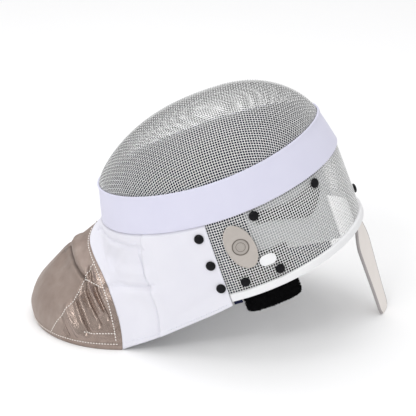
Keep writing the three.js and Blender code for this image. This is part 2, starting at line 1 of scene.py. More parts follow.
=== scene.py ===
import bmesh
import bpy
import math
import numpy as np
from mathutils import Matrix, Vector


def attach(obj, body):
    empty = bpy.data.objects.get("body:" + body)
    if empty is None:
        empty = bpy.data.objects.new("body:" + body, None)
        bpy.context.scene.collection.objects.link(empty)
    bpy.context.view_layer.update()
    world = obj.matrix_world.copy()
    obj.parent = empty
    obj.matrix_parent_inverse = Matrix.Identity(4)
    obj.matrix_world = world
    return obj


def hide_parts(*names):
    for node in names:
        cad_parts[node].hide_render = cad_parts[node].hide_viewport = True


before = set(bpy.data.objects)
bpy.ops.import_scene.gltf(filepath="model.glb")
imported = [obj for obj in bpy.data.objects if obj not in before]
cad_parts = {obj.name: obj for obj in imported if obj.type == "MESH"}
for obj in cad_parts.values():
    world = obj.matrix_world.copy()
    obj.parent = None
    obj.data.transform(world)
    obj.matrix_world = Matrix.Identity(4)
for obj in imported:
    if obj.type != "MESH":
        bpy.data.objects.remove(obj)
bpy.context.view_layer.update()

MM = 0.001
SEED = 11
TINY = 1e-6
NO_LENGTH = 1e-12
# Nothing goes nearer to the floor than this, in metres.
FLOOR_CLEAR = 0.0002

# ---- sizes ----
PITCH = math.radians(19.5)
RING_CENTRE = {"x": -0.65, "z": 212.0}
RING = {"crown": 134.0, "chin": 138.0, "side": 100.5, "roundness": 1.95}
BAND = {"depth": 41.0, "top_rise": 7.0, "bottom_rise": 4.4, "thickness": 2.4, "corner": 0.9}
BAND_FLARE = {"crown": 10.0, "chin": 12.4, "side": 10.0}
WALL = {"depth": 136.0, "rise": 3.4, "bow": 0.63}
WALL_FLARE = {"crown": 2.0, "chin": 9.0, "side": 10.0}
DOME = {"height": 68.5, "peak": 19.5, "chin_power": 2.27, "crown_power": 2.5, "arch": 1.47}
DOME_FALL = {"chin": 1.18, "crown": 1.29}
# The band is a little full across its height, and slack in small ripples at the crown.
BAND_SLACK = {"full": 0.35, "slack": 0.28, "crown_spread": 62.0, "ripples": 58, "beats": 23}
WIRE = {"pitch": 2.9, "radius": 0.42, "weave": 0.5, "sides": 6, "inset": 3.7}
# Where the outer face of the wires is, and the middle that the painted shade on each wire faces.
WIRE_FACE = 2.9
PAINTED_SHADE_MIDDLE = (0, 0, -20)
# Crossings of a quarter of the face's net, and how its wires are found on the shell.
NET_CENTRE = np.array([0.0, 0.0, -30.0])
NET = {"lengthwise": 64, "crosswise": 52, "sweep": 112, "fine": 900, "furthest": 320.0, "halvings": 22,
       "settling": 3, "least_reach": 0.2}
SKIRT_DEPTH = 5.5
SIDE_NET = {"counted_at": -82.0, "top": -39.0, "above_rim": 0.6, "height": 88.0}
RIM = {"width": 9.2, "thickness": 4.6, "corner": 1.3, "full": 0.35}
LINER = {"inset": 5.8, "thickness": 4.0, "top": 3.0, "bottom": 42.0, "corner": 1.8, "fill": 0.5}
SIDE_PAD = {"inset": 5.2, "thickness": 3.6, "from": 38.5, "to": 75.5, "corner": 1.6, "fill": 0.7}
PAD_EDGES = {"top": 47.5, "top_sag": 6.0, "bottom": 62.0, "bottom_sag": 18.0}
SIDE_CLOTH_TOP = 44.0
BACKING = {"inset": 9.6, "thickness": 1.2, "from": 33.0, "to": 80.0, "corner": 0.4}
BACKING_EDGE = {"bottom": 90.0, "drop": 0.83, "drop_from": 80.0, "lowest": 131.0}
SIDE_LINING = {"inset": 11.2, "thickness": 1.2, "from": 41.0, "to": 102.5, "bottom": 131.0,
               "corner": 0.4, "lap": 14.0}
LINING_EDGE = {"inset": 5.6, "thickness": 1.4, "from": 94.4, "to": 98.2, "top": 44.0, "bottom": 142.5,
               "corner": 0.5}
WAVES = {"height": 1.3, "count": 17, "beats": 5}
NARROWEST_SHEET = 0.0102
PANEL_EDGE = 98.5
MESH_TUCK = 3.0
RIM_CLEAR = 0.4

BIB = {"top": 41.6, "cloth": 1.4, "lining_depth": 2.6, "lining_cloth": 1.2}
BIB_LINING = {"from": 0.005, "bottom": 0.985}
HEM = {"back_x": 27.75, "floor_x": -104.25, "half_width": 94.0, "tip_x": -214.25,
       "back_half_width": 119.0, "slope": 0.56, "sag": 4.0, "lean": -0.2}
# A place well inside the mask, which every outer face looks away from.
INSIDE = (0, 0, -90)
# Lines of the bib from the side mesh (at 0) to the front middle (at 1), one column each.
BIB_LINES = {
    "at": (0.0, 0.3, 0.5, 0.75, 1.0),
    "ring": (98.5, 133.0, 173.0, 177.0, 180.0),
    "hem": (0.0, 0.64, 0.97, 1.5, 2.0),
    "top_out": (6.0, 10.0, 14.0, 26.0, 31.0),
    "top_down": (31.0, 39.0, 20.0, 30.0, 27.0),
    "hem_out": (-1.0, -6.0, -6.0, 14.0, 28.0),
    "hem_up": (30.0, 37.0, 72.0, 54.0, 40.0),
}
FREE_BY = 0.3
EASE = 0.045
EASE_STEPS = 7
BIB_STEP = 0.004
PANEL_SEAM = {"at_hem": 0.302, "lean": 0.035, "down": 0.25}
LAME_SEAM = {"hem": 0.5, "sweep": 0.81, "down": 0.19}
LAME_TOP = 0.08
SEAM_LAP = 0.006
BIB_TOP_TUCK = -0.012
# How the layers pass over each other at a seam: shares round or down, and millimetres.
HEM_TURN = {"from": 0.955, "over": 0.02, "lift": 0.7}
BAND_TUCK = {"over": 0.022, "sink": 2.6}
PANEL_TURN = {"from": 0.045, "over": 0.03, "lift": 0.9}
FRONT_TUCK = {"sink": 1.1, "panel_gap": 0.001, "panel_over": 0.02, "lame_gap": 0.004, "lame_over": 0.005}
SAG = {"height": 0.5, "free_from": 0.3}
WRINKLE_LIFT = 1.3
# Where the lame is glossy, and where shade is painted into its pleat.
GLOSS = {"round": 0.22, "lean": 0.15, "edge": 0.08, "down": 0.4, "fade": 0.15}
PLEAT_PAINTED_SHADE = {"from": 0.8, "over": 3.0}
# Lengths of cloth that one unit round and one unit down stand for near the folds.
CLOTH_SCALE = (300.0, 150.0)


# ---- the mask's own directions ----
def place(u, v, w):
    u, v, w = np.broadcast_arrays(u, v, w)
    x = RING_CENTRE["x"] + u * math.cos(PITCH) - w * math.sin(PITCH)
    z = RING_CENTRE["z"] + u * math.sin(PITCH) + w * math.cos(PITCH)
    return np.stack([x, v, z], -1) * MM


def mask_direction(u, v, w):
    return (place(u, v, w) - place(0, 0, 0)) / MM


def unit(vectors):
    return vectors / np.maximum(np.linalg.norm(vectors, axis=-1, keepdims=True), NO_LENGTH)


def smooth(t):
    t = np.clip(t, 0, 1)
    return t * t * (3 - 2 * t)


def signed_power(x, p):
    return np.sign(x) * np.abs(x) ** p


def reaches(w, inset):
    in_band = np.clip(-w / BAND["depth"], 0, 1)
    below = np.maximum(-w - BAND["depth"], 0) / (WALL["depth"] - BAND["depth"])
    bowed = below * (1 + WALL["bow"]) - WALL["bow"] * below ** 2
    crown = RING["crown"] + BAND_FLARE["crown"] * in_band + WALL_FLARE["crown"] * bowed - inset
    chin = RING["chin"] + BAND_FLARE["chin"] * in_band + WALL_FLARE["chin"] * below - inset
    side = RING["side"] + BAND_FLARE["side"] * in_band + WALL_FLARE["side"] * bowed - inset
    return crown, chin, side


def on_wall(deg, w, inset):
    """A point of the wall at a ring angle (0 at the crown, 180 at the chin) and a level."""
    deg, w, inset = np.broadcast_arrays(*(np.asarray(x, float) for x in (deg, w, inset)))
    angle = np.radians(deg)
    crown, chin, side = reaches(w, inset)
    along = np.where(np.cos(angle) > 0, crown, chin)
    u = along * signed_power(np.cos(angle), 2 / RING["roundness"])
    v = side * signed_power(np.sin(angle), 2 / RING["roundness"])
    return place(u, v, w)


def edge_level(deg, w, rise):
    return w + rise * np.cos(np.radians(deg)) ** 2


# ---- making meshes ----
def make_piece(name, points, faces, material, uvs=None, smooth_shade=True):
    mesh = bpy.data.meshes.new(name)
    mesh.from_pydata([tuple(p) for p in points], [], faces)
    mesh.materials.append(material)
    if uvs is not None:
        layer = mesh.uv_layers.new(name="cloth")
        corners = np.array([mesh.loops[i].vertex_index for i in range(len(mesh.loops))])
        layer.data.foreach_set("uv", np.asarray(uvs, np.float32)[corners].ravel())
    mesh.polygons.foreach_set("use_smooth", [smooth_shade] * len(mesh.polygons))
    piece = bpy.data.objects.new(name, mesh)
    bpy.context.scene.collection.objects.link(piece)
    return piece


def bake(piece):
    """Turns the piece with its modifiers into a plain mesh."""
    depsgraph = bpy.context.evaluated_depsgraph_get()
    made = bpy.data.meshes.new_from_object(piece.evaluated_get(depsgraph), depsgraph=depsgraph)
    piece.modifiers.clear()
    piece.data = made
    return piece


def face_outwards(piece):
    """Turns a closed mesh's faces outwards."""
    made = bmesh.new()
    made.from_mesh(piece.data)
    if made.calc_volume(signed=True) < 0:
        bmesh.ops.reverse_faces(made, faces=made.faces[:])
    made.to_mesh(piece.data)
    made.free()
    return piece


def fit(piece, slot, *nodes):
    """Puts the piece on the mask in place of the nodes that it stands for, and hides those nodes. The slot is
    not used.
    """
    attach(piece, "root")
    if nodes:
        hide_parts(*nodes)


def hang(piece, flat):
    """Works out the smaller of half the piece's face area and its flat width times height, and keeps neither.
    """
    area = sum(face.area for face in piece.data.polygons) / 2
    min(area, flat[0] * flat[1])


def arc_lengths(points, axis):
    step = np.linalg.norm(np.diff(points, axis=axis), axis=-1)
    start = np.zeros_like(np.take(step, [0], axis=axis))
    return np.concatenate([start, np.cumsum(step, axis=axis)], axis=axis)


def loft(name, rings, material, closed_path=False):
    """A solid through rings of points; its UV map is metres round the ring and along the path."""
    rings = np.asarray(rings, float)
    count, size = rings.shape[:2]
    points = rings.reshape(-1, 3)
    at = lambda i, j: (i % count) * size + j % size
    faces = [(at(i, j), at(i + 1, j), at(i + 1, j + 1), at(i, j + 1))
             for i in range(count if closed_path else count - 1) for j in range(size)]
    if not closed_path:
        faces += [tuple(range(size)), tuple(at(count - 1, j) for j in reversed(range(size)))]
    round_it = arc_lengths(rings, 1).mean(0)
    along = arc_lengths(rings, 0).mean(1)
    uvs = np.stack(np.meshgrid(along, round_it, indexing="ij"), -1).reshape(-1, 2)
    return face_outwards(make_piece(name, points, faces, material, uvs))


def strip_section(height, thickness, corner, across=10):
    """Points round a strip's cut end: how far down from its top and how deep under its face."""
    turn = np.linspace(0, math.pi / 2, 5)
    corners = ((height - corner, corner, 0), (height - corner, thickness - corner, 1),
               (corner, thickness - corner, 2), (corner, corner, 3))
    down, deep = [], []
    for i, (s, d, quarter) in enumerate(corners):
        angle = turn + (quarter - 1) * math.pi / 2
        down += list(s + corner * np.cos(angle))
        deep += list(d + corner * np.sin(angle))
        if quarter in (1, 3):
            target = corners[(i + 1) % 4]
            far = target[0] + corner * math.cos(-math.pi / 2) if quarter == 3 else target[0]
            down += list(np.linspace(down[-1], far, across + 2)[1:-1])
            deep += [deep[-1]] * across
    return np.array(down), np.array(deep)


def wall_strip(name, degs, top, height, inset, thickness, corner, material,
               closed=False, swell=None, across=10):
    """A strip that runs round the wall. swell(deg, share down) moves its face outwards."""
    rings = []
    for deg in degs:
        tall = height(deg) if callable(height) else height
        down, deep = strip_section(tall, thickness, corner, across)
        out = 0.0 if swell is None else swell(deg, down / tall) * (1 - deep / thickness)
        rings.append(on_wall(deg, top(deg) - down, inset + deep - out))
    return loft(name, rings, material, closed_path=closed)


# ---- node trees ----
class Socket:
    """An output of a node; sums on it add Math nodes."""

    def __init__(self, tree, socket):
        self.tree, self.socket = tree, socket

    def __getitem__(self, output):
        return Socket(self.tree, self.socket.node.outputs[output])

    def __add__(self, other):
        return self.tree.math("ADD", self, other)

    def __radd__(self, other):
        return self.tree.math("ADD", other, self)

    def __sub__(self, other):
        return self.tree.math("SUBTRACT", self, other)

    def __rsub__(self, other):
        return self.tree.math("SUBTRACT", other, self)

    def __mul__(self, other):
        return self.tree.math("MULTIPLY", self, other)

    def __rmul__(self, other):
        return self.tree.math("MULTIPLY", other, self)

    def __abs__(self):
        return self.tree.math("ABSOLUTE", self)

    def sine(self):
        return self.tree.math("SINE", self)

    def between(self, low, high):
        """0 under low, 1 over high, and eased from one to the other."""
        return self.tree.node("ShaderNodeMapRange", {"interpolation_type": "SMOOTHSTEP"},
                              {"Value": self, "From Min": low, "From Max": high})


class Tree:
    """A node tree that nodes are added to by type, settings and socket values or links."""

    def __init__(self, tree):
        self.tree = tree

    def node(self, kind, settings=None, inputs=None, output=0):
        made = self.tree.nodes.new(kind)
        for name, value in (settings or {}).items():
            setattr(made, name, value)
        for name, value in (inputs or {}).items():
            if isinstance(value, Socket):
                self.tree.links.new(value.socket, made.inputs[name])
            else:
                made.inputs[name].default_value = value
        return Socket(self, made.outputs[output]) if made.outputs else made

    def math(self, operation, *values):
        return self.node("ShaderNodeMath", {"operation": operation}, dict(enumerate(values)))


class Finish(Tree):
    """A material: its Principled shader and the nodes behind it."""

    def __init__(self, name):
        self.material = bpy.data.materials.new(name)
        self.material.use_nodes = True
        super().__init__(self.material.node_tree)
        self.tree.nodes.clear()
        self.shader = self.node("ShaderNodeBsdfPrincipled")
        self.node("ShaderNodeOutputMaterial", inputs={"Surface": self.shader})

    def set(self, **sockets):
        principled = self.shader.socket.node
        for name, value in sockets.items():
            socket = principled.inputs[name.replace("_", " ")]
            if isinstance(value, Socket):
                self.tree.links.new(value.socket, socket)
            else:
                socket.default_value = value

    def place(self, scale=(1, 1, 1), uv=False):
        source = self.node("ShaderNodeTexCoord", output="UV" if uv else "Object")
        return self.node("ShaderNodeMapping", inputs={"Vector": source, "Scale": scale})

    def noise(self, place, scale, detail=3.0, roughness=0.55):
        return self.node("ShaderNodeTexNoise", inputs={
            "Vector": place, "Scale": scale, "Detail": detail, "Roughness": roughness})

    def parts(self, vector):
        split = self.node("ShaderNodeSeparateXYZ", inputs={"Vector": vector})
        return split["X"], split["Y"], split["Z"]

    def colour_mix(self, factor, a, b):
        return self.node("ShaderNodeMix", {"data_type": "RGBA"}, {0: factor, 6: a, 7: b}, output=2)

    def ramp(self, factor, stops):
        made = self.node("ShaderNodeValToRGB", inputs={"Fac": factor})
        elements = made.socket.node.color_ramp.elements
        while len(elements) < len(stops):
            elements.new(0.5)
        for element, (position, colour) in zip(elements, stops):
            element.position, element.color = position, colour
        return made

    def bump(self, height, strength, distance, under=None):
        inputs = {"Height": height, "Strength": strength, "Distance": distance}
        if under is not None:
            inputs["Normal"] = under
        return self.node("ShaderNodeBump", inputs=inputs)


def weave(finish, uv, pitch):
    """A plain weave's height, -1 to 1, at a thread pitch in metres."""
    across, along, _ = finish.parts(uv)
    turn = 2 * math.pi / pitch
    return (across * turn).sine() * (along * turn).sine()


# ---- finishes ----
def wire_enamel_painted_shade(name, shade_reach):
    """White enamel, with painted shade: the head side of each wire is coloured near black, for the shade
    inside the mask.

    The second argument is how far round from its head side the painted shade reaches, between two depths in
    metres."""
    finish = Finish(name)
    spot = finish.noise(finish.place(), 90.0, 2.0)
    from_middle = finish.node("ShaderNodeVectorMath", {"operation": "SUBTRACT"}, {
        0: finish.node("ShaderNodeTexCoord", output="Object"), 1: tuple(place(*PAINTED_SHADE_MIDDLE))})
    facing = finish.node("ShaderNodeVectorMath", {"operation": "DOT_PRODUCT"}, {
        0: from_middle, 1: finish.node("ShaderNodeTexCoord", output="Normal")}, output="Value")
    white_share = facing.between(*shade_reach)
    white = finish.colour_mix(spot, (0.93, 0.935, 0.935, 1), (0.985, 0.985, 0.985, 1))
    # Painted shade: near black on the side of each wire that faces into the mask.
    colour = finish.colour_mix(white_share, (0.03, 0.03, 0.035, 1), white)
    finish.set(Base_Color=colour, Roughness=spot * 0.2 + 0.28,
               Normal=finish.bump(finish.noise(finish.place(), 1500.0, 2.0), 0.15, 0.0002))
    return finish.material


def backing_cloth():
    finish = Finish("grey_backing_cloth")
    threads = weave(finish, finish.place(uv=True), 0.0012)
    cloud = finish.noise(finish.place(), 30.0, 3.0)
    # Painted shade: the white backing is coloured grey for the shade that it lies in behind the mesh.
    colour = finish.colour_mix(cloud, (0.52, 0.525, 0.55, 1), (0.64, 0.645, 0.67, 1))
    finish.set(Base_Color=colour, Roughness=0.9, Normal=finish.bump(threads, 0.3, 0.0002))
    return finish.material


def elastic_band():
    finish = Finish("lilac_ribbed_elastic")
    along, across, _ = finish.parts(finish.place(uv=True))
    ribs = (along * (2 * math.pi / 0.0013)).sine()
    yarns = (across * (2 * math.pi / 0.0009)).sine()
    cloud = finish.noise(finish.place(), 35.0, 3.0)
    fibre = finish.noise(finish.place(), 900.0, 3.0)
    tone = cloud * 0.7 + fibre * 0.3
    colour = finish.colour_mix(tone, (0.66, 0.655, 0.80, 1), (0.72, 0.715, 0.84, 1))
    height = ribs * 0.5 + ribs * yarns * 0.25 + fibre * 0.6
    finish.set(Base_Color=colour, Roughness=0.82, Sheen_Weight=0.25, Sheen_Roughness=0.5,
               Normal=finish.bump(height, 0.35, 0.0002))
    return finish.material


def rim_tape():
    finish = Finish("white_rim_tape")
    along, _, _ = finish.parts(finish.place(uv=True))
    ribs = (along * (2 * math.pi / 0.0011)).sine()
    cloud = finish.noise(finish.place(), 60.0, 3.0)
    colour = finish.colour_mix(cloud, (0.80, 0.80, 0.815, 1), (0.88, 0.88, 0.89, 1))
    finish.set(Base_Color=colour, Roughness=cloud * 0.15 + 0.42,
               Normal=finish.bump(ribs * 0.4 + cloud, 0.18, 0.0002))
    return finish.material


def bib_cloth():
    finish = Finish("white_bib_cloth")
    uv = finish.place(uv=True)
    threads = weave(finish, uv, 0.0008)
    cloud = finish.noise(finish.place(), 22.0, 4.0)
    crush = finish.noise(finish.place(scale=(1, 1, 0.6)), 70.0, 4.0, 0.6)
    colour = finish.colour_mix(cloud, (0.75, 0.745, 0.82, 1), (0.82, 0.815, 0.87, 1))
    rough = finish.bump(crush, 0.25, 0.0012)
    finish.set(Base_Color=colour, Roughness=0.86, Sheen_Weight=0.2, Sheen_Roughness=0.45,
               Normal=finish.bump(threads, 0.3, 0.00012, under=rough))
    return finish.material


def lame_cloth():
    """Metallic weave: dull over the chin, glossy beside the stitched seam, with painted shade in the pleat.
    """
    finish = Finish("metallic_lame_cloth")
    uv = finish.place(uv=True)
    threads = weave(finish, uv, 0.0009)
    cloud = finish.noise(finish.place(), 26.0, 4.0)
    streak = finish.noise(finish.place(scale=(1.0, 1.0, 0.35)), 110.0, 3.0)
    crumple = finish.noise(finish.place(), 60.0, 2.0)
    colour = finish.ramp(cloud * 0.6 + streak * 0.4, (
        (0.30, (0.27, 0.205, 0.175, 1)), (0.52, (0.33, 0.262, 0.228, 1)), (0.75, (0.40, 0.33, 0.292, 1))))
    gloss = finish.node("ShaderNodeAttribute", {"attribute_name": "gloss"}, output="Fac")
    pleat_painted_shade = finish.node("ShaderNodeAttribute", {"attribute_name": "pleat_painted_shade"}, output="Fac")
    # Painted shade: the pleat's crease is coloured dark brown.
    shaded = finish.colour_mix(pleat_painted_shade, colour["Color"], (0.10, 0.075, 0.062, 1))
    crush = finish.bump(streak * 0.6 + crumple * gloss * 2.2, 0.35, 0.0016)
    finish.set(Base_Color=shaded, Metallic=gloss * 0.4 + 0.45,
               Roughness=0.50 - gloss * 0.36 + cloud * 0.06,
               Normal=finish.bump(threads, 0.22, 0.00015, under=crush))
    return finish.material


def lining_cloth():
    finish = Finish("navy_lining_cloth")
    cloud = finish.noise(finish.place(), 45.0, 3.0)
    fibre = finish.noise(finish.place(), 1100.0, 2.0)
    colour = finish.colour_mix(cloud, (0.008, 0.010, 0.030, 1), (0.018, 0.022, 0.060, 1))
    finish.set(Base_Color=colour, Roughness=0.92, Specular_IOR_Level=0.1,
               Normal=finish.bump(fibre, 0.5, 0.0004))
    return finish.material


def speckled(name, grain, dark, pale, rough, bump=None, **sockets):
    """A finish whose one grain, a noise's scale and detail, tints it and lifts it.

    rough is the roughness, or the least roughness and how much the grain adds."""
    finish = Finish(name)
    speck = finish.noise(finish.place(), *grain)
    if bump is not None:
        sockets["Normal"] = finish.bump(speck, *bump)
    if isinstance(rough, tuple):
        rough = speck * rough[1] + rough[0]
    finish.set(Base_Color=finish.colour_mix(speck, (*dark, 1), (*pale, 1)), Roughness=rough, **sockets)
    return finish.material


def thread(name, dark, pale):
    return speckled(name, (1600.0, 2.0), dark, pale, 0.75, (0.4, 0.0002))


def plate_metal():
    """Brushed metal, darkened in two plain rings and a disc in the plate's middle."""
    finish = Finish("pale_plate_metal")
    brushed = finish.noise(finish.place(scale=(1, 1, 9)), 300.0, 3.0)
    cloud = finish.noise(finish.place(), 120.0, 3.0)
    x, y, _ = finish.parts(finish.place(uv=True))
    radius = finish.math("SQRT", x * x + y * y)
    ring = 1 - abs(radius - 0.0091).between(0.0003, 0.0009)
    inner = 1 - abs(radius - 0.0052).between(0.0002, 0.0006)
    disc = 1 - radius.between(0.0086, 0.0092)
    colour = finish.colour_mix(brushed * 0.5 + cloud * 0.5, (0.44, 0.40, 0.37, 1), (0.60, 0.555, 0.515, 1))
    stained = finish.colour_mix(ring * 0.8 + inner * 0.5 + disc * 0.22, colour, (0.12, 0.105, 0.09, 1))
    finish.set(Base_Color=stained, Metallic=0.65, Roughness=cloud * 0.15 + 0.32,
               Normal=finish.bump(brushed - ring * 0.6, 0.2, 0.0003))
    return finish.material


def tongue_cover():
    finish = Finish("warm_white_tongue_cover")
    uv = finish.place(uv=True)
    threads = weave(finish, uv, 0.0011)
    cloud = finish.noise(finish.place(), 40.0, 4.0)
    colour = finish.colour_mix(cloud, (0.80, 0.745, 0.705, 1), (0.88, 0.83, 0.79, 1))
    finish.set(Base_Color=colour, Roughness=0.7, Sheen_Weight=0.15,
               Normal=finish.bump(threads * 0.5 + cloud, 0.3, 0.0003))
    return finish.material


def studio_floor():
    finish = Finish("pale_floor")
    cloud = finish.noise(finish.place(), 3.0, 2.0)
    finish.set(Base_Color=finish.colour_mix(cloud, (0.965, 0.965, 0.97, 1), (0.98, 0.98, 0.985, 1)),
               Roughness=0.9, Specular_IOR_Level=0.1)
    return finish.material


# ---- trees for what repeats ----
def geometry_tree(name, sizes):
    tree = bpy.data.node_groups.new(name, "GeometryNodeTree")
    tree.interface.new_socket("Geometry", in_out="INPUT", socket_type="NodeSocketGeometry")
    for size, kind in sizes:
        tree.interface.new_socket(size, in_out="INPUT", socket_type=kind)
    tree.interface.new_socket("Geometry", in_out="OUTPUT", socket_type="NodeSocketGeometry")
    return Tree(tree)


def finish_tree(tree, shape, given):
    real = tree.node("GeometryNodeRealizeInstances", inputs={"Geometry": shape})
    shaded = tree.node("GeometryNodeSetShadeSmooth", inputs={"Geometry": real})
    painted = tree.node("GeometryNodeSetMaterial", inputs={"Geometry": shaded, "Material": given["Material"]})
    tree.node("NodeGroupOutput", inputs={"Geometry": painted})
    return tree.tree


def strand_tree():
    """Gives every line of the mesh a round section."""
    tree = geometry_tree("strands", (("Radius", "NodeSocketFloat"), ("Sides", "NodeSocketInt"),
                                     ("Material", "NodeSocketMaterial")))
    given = tree.node("NodeGroupInput")
    lines = tree.node("GeometryNodeMeshToCurve", inputs={"Mesh": given["Geometry"]})
    section = tree.node("GeometryNodeCurvePrimitiveCircle", inputs={
        "Resolution": given["Sides"], "Radius": given["Radius"]})
    tube = tree.node("GeometryNodeCurveToMesh", inputs={
        "Curve": lines, "Profile Curve": section, "Fill Caps": True})
    return finish_tree(tree, tube, given)


def scatter_tree():
    """Puts a small piece at every point, its Z to the point's out and its X to its along."""
    tree = geometry_tree("scatter", (("Piece", "NodeSocketObject"), ("Material", "NodeSocketMaterial")))
    given = tree.node("NodeGroupInput")
    vector = {"data_type": "FLOAT_VECTOR"}
    out = tree.node("GeometryNodeInputNamedAttribute", vector, {"Name": "out"})
    along = tree.node("GeometryNodeInputNamedAttribute", vector, {"Name": "along"})
    size = tree.node("GeometryNodeInputNamedAttribute", {"data_type": "FLOAT"}, {"Name": "size"})
    turn = tree.node("FunctionNodeAxesToRotation", {"primary_axis": "Z", "secondary_axis": "X"},
                     {0: out["Attribute"], 1: along["Attribute"]})
    piece = tree.node("GeometryNodeObjectInfo", inputs={"Object": given["Piece"]}, output="Geometry")
    made = tree.node("GeometryNodeInstanceOnPoints", inputs={
        "Points": given["Geometry"], "Instance": piece, "Rotation": turn, "Scale": size["Attribute"]})
    return finish_tree(tree, made, given)


def grow(piece, tree, **values):
    """Runs a tree on the piece, with its named inputs, and keeps the result as a plain mesh."""
    made = piece.modifiers.new("grow", "NODES")
    made.node_group = tree
    for item in tree.interface.items_tree:
        if item.in_out == "INPUT" and item.name in values:
            made[item.identifier] = values[item.name]
    return bake(piece)


def strands(name, lines, radius, sides, material, tree):
    """Round wires or threads along lists of points."""
    points = np.concatenate(lines)
    starts = np.cumsum([0] + [len(line) for line in lines])
    edges = [(k, k + 1) for a, b in zip(starts, starts[1:]) for k in range(a, b - 1)]
    mesh = bpy.data.meshes.new(name)
    mesh.from_pydata([tuple(p) for p in points], edges, [])
    piece = bpy.data.objects.new(name, mesh)
    bpy.context.scene.collection.objects.link(piece)
    return face_outwards(grow(piece, tree, Radius=radius * MM, Sides=sides, Material=material))


def scatter(name, places, outs, alongs, shape, material, tree, sizes=None):
    """Copies of a small shape at places, turned to stand out of the surface there."""
    mesh = bpy.data.meshes.new(name)
    mesh.from_pydata([tuple(p) for p in places], [], [])
    for label, values in (("out", outs), ("along", alongs)):
        mesh.attributes.new(label, "FLOAT_VECTOR", "POINT").data.foreach_set(
            "vector", np.asarray(values, np.float32).ravel())
    sizes = np.ones(len(places)) if sizes is None else sizes
    mesh.attributes.new("size", "FLOAT", "POINT").data.foreach_set("value", np.asarray(sizes, np.float32))
    piece = bpy.data.objects.new(name, mesh)
    bpy.context.scene.collection.objects.link(piece)
    grow(piece, tree, Piece=shape, Material=material)
    bpy.data.objects.remove(shape)
    return face_outwards(piece)


# ---- wire basket ----
def dome_height(u, v, crown, chin, side, height):
    along = np.where(u > 0, crown, chin)
    n = RING["roundness"]
    half_width = side * np.maximum(1 - np.abs(u / along) ** n, 0) ** (1 / n)
    to_crown = u > DOME["peak"]
    x = np.where(to_crown, (u - DOME["peak"]) / (crown - DOME["peak"]),
                 (DOME["peak"] - u) / (chin + DOME["peak"]))
    power = np.where(to_crown, DOME["crown_power"], DOME["chin_power"])
    fall = np.where(to_crown, DOME_FALL["crown"], DOME_FALL["chin"])
    profile = np.maximum(1 - np.clip(x, 0, 1) ** power, 0) ** (1 / fall)
    across = np.clip(np.abs(v) / np.maximum(half_width, TINY), 0, 1)
    arch = np.sqrt(1 - across ** DOME["arch"])
    return height * profile * arch + BAND["top_rise"] * (u / along) ** 2


def in_basket(points):
    u, v, w = points[..., 0], points[..., 1], points[..., 2]
    crown, chin, side = reaches(np.minimum(w, 0), WIRE["inset"])
    along = np.where(u > 0, crown, chin)
    n = RING["roundness"]
    inside = np.abs(u / along) ** n + np.abs(v / side) ** n < 1
    at_ring = reaches(np.zeros_like(w), WIRE["inset"])
    return inside & (w < dome_height(u, v, *at_ring, DOME["height"] - WIRE["inset"] / 4))


def on_basket(points):
    """The points of the wire shell that lie on rays from its middle through the given points."""
    rays = unit(points - NET_CENTRE)
    low, high = np.zeros(len(rays)), np.full(len(rays), NET["furthest"])
    for _ in range(NET["halvings"]):
        middle = (low + high) / 2
        inside = in_basket(NET_CENTRE + rays * middle[:, None])
        low, high = np.where(inside, middle, low), np.where(inside, high, middle)
    return NET_CENTRE + rays * low[:, None]


def shell_line(direction, count):
    """Points a pitch apart on the shell, from the top down towards a direction."""
    angles = np.radians(np.linspace(0, NET["sweep"], NET["fine"]))
    rays = np.outer(np.cos(angles), (0, 0, 1)) + np.outer(np.sin(angles), direction)
    points = on_basket(NET_CENTRE + rays)
    along = arc_lengths(points, 0)
    wanted = np.arange(count) * WIRE["pitch"]
    return np.stack([np.interp(wanted, along, points[:, k]) for k in range(3)], -1)


def wire_net(side_u):
    """A quarter of the woven net: crossings a pitch apart along both sets of wires."""
    lengthwise = shell_line((side_u, 0, 0), NET["lengthwise"])
    crosswise = shell_line((0, 1, 0), NET["crosswise"])
    net = np.zeros((len(lengthwise), len(crosswise), 3))
    net[:, 0], net[0, :] = lengthwise, crosswise
    for diagonal in range(2, len(lengthwise) + len(crosswise) - 1):
        i = np.arange(max(1, diagonal - len(crosswise) + 1), min(len(lengthwise), diagonal))
        j = diagonal - i
        a, b, before = net[i - 1, j], net[i, j - 1], net[i - 1, j - 1]
        middle, apart = (a + b) / 2, b - a
        reach = np.sqrt(np.maximum(WIRE["pitch"] ** 2 - (apart ** 2).sum(-1) / 4,
                                   NET["least_reach"]))
        across = unit(apart)
        point = 2 * middle - before
        for _ in range(NET["settling"]):
            point = on_basket(point)
            away = point - middle
            away = unit(away - (away * across).sum(-1, keepdims=True) * across)
            point = middle + away * reach[:, None]
        net[i, j] = on_basket(point)
    return net


def weave_wires(net, keep):
    """Centre lines of both sets of wires, passing over and under each other."""
    along, across = np.gradient(net, axis=0), np.gradient(net, axis=1)
    out = unit(np.cross(along, across))
    out *= np.sign(((net - net.mean((0, 1))) * out).sum(-1).mean())
    rows, columns = np.indices(net.shape[:2])
    over = np.where((rows + columns) % 2 == 0, 1.0, -1.0)[..., None] * WIRE["weave"] * MM
    sets = []
    for sign, flip in ((1, False), (-1, True)):
        lines = net + sign * over * out
        kept = keep
        if flip:
            lines, kept = lines.transpose(1, 0, 2), keep.T
        wires = []
        for line, mask in zip(lines, kept):
            shown = np.flatnonzero(mask)
            if len(shown) > 2:
                wires.append(line[shown[0]:shown[-1] + 1])
        sets.append(wires)
    return sets


def face_wires():
    chin, crown = wire_net(-1), wire_net(1)
    half = np.concatenate([chin[:0:-1], crown])
    left = half[:, :0:-1] * np.array([1, -1, 1])
    net = np.concatenate([left, half], axis=1)
    u, v, w = net[..., 0], net[..., 1], net[..., 2]
    angle = np.degrees(np.arctan2(v, u))
    keep = w > edge_level(angle, -SKIRT_DEPTH, BAND["top_rise"])
    return weave_wires(place(u, v, w), keep)


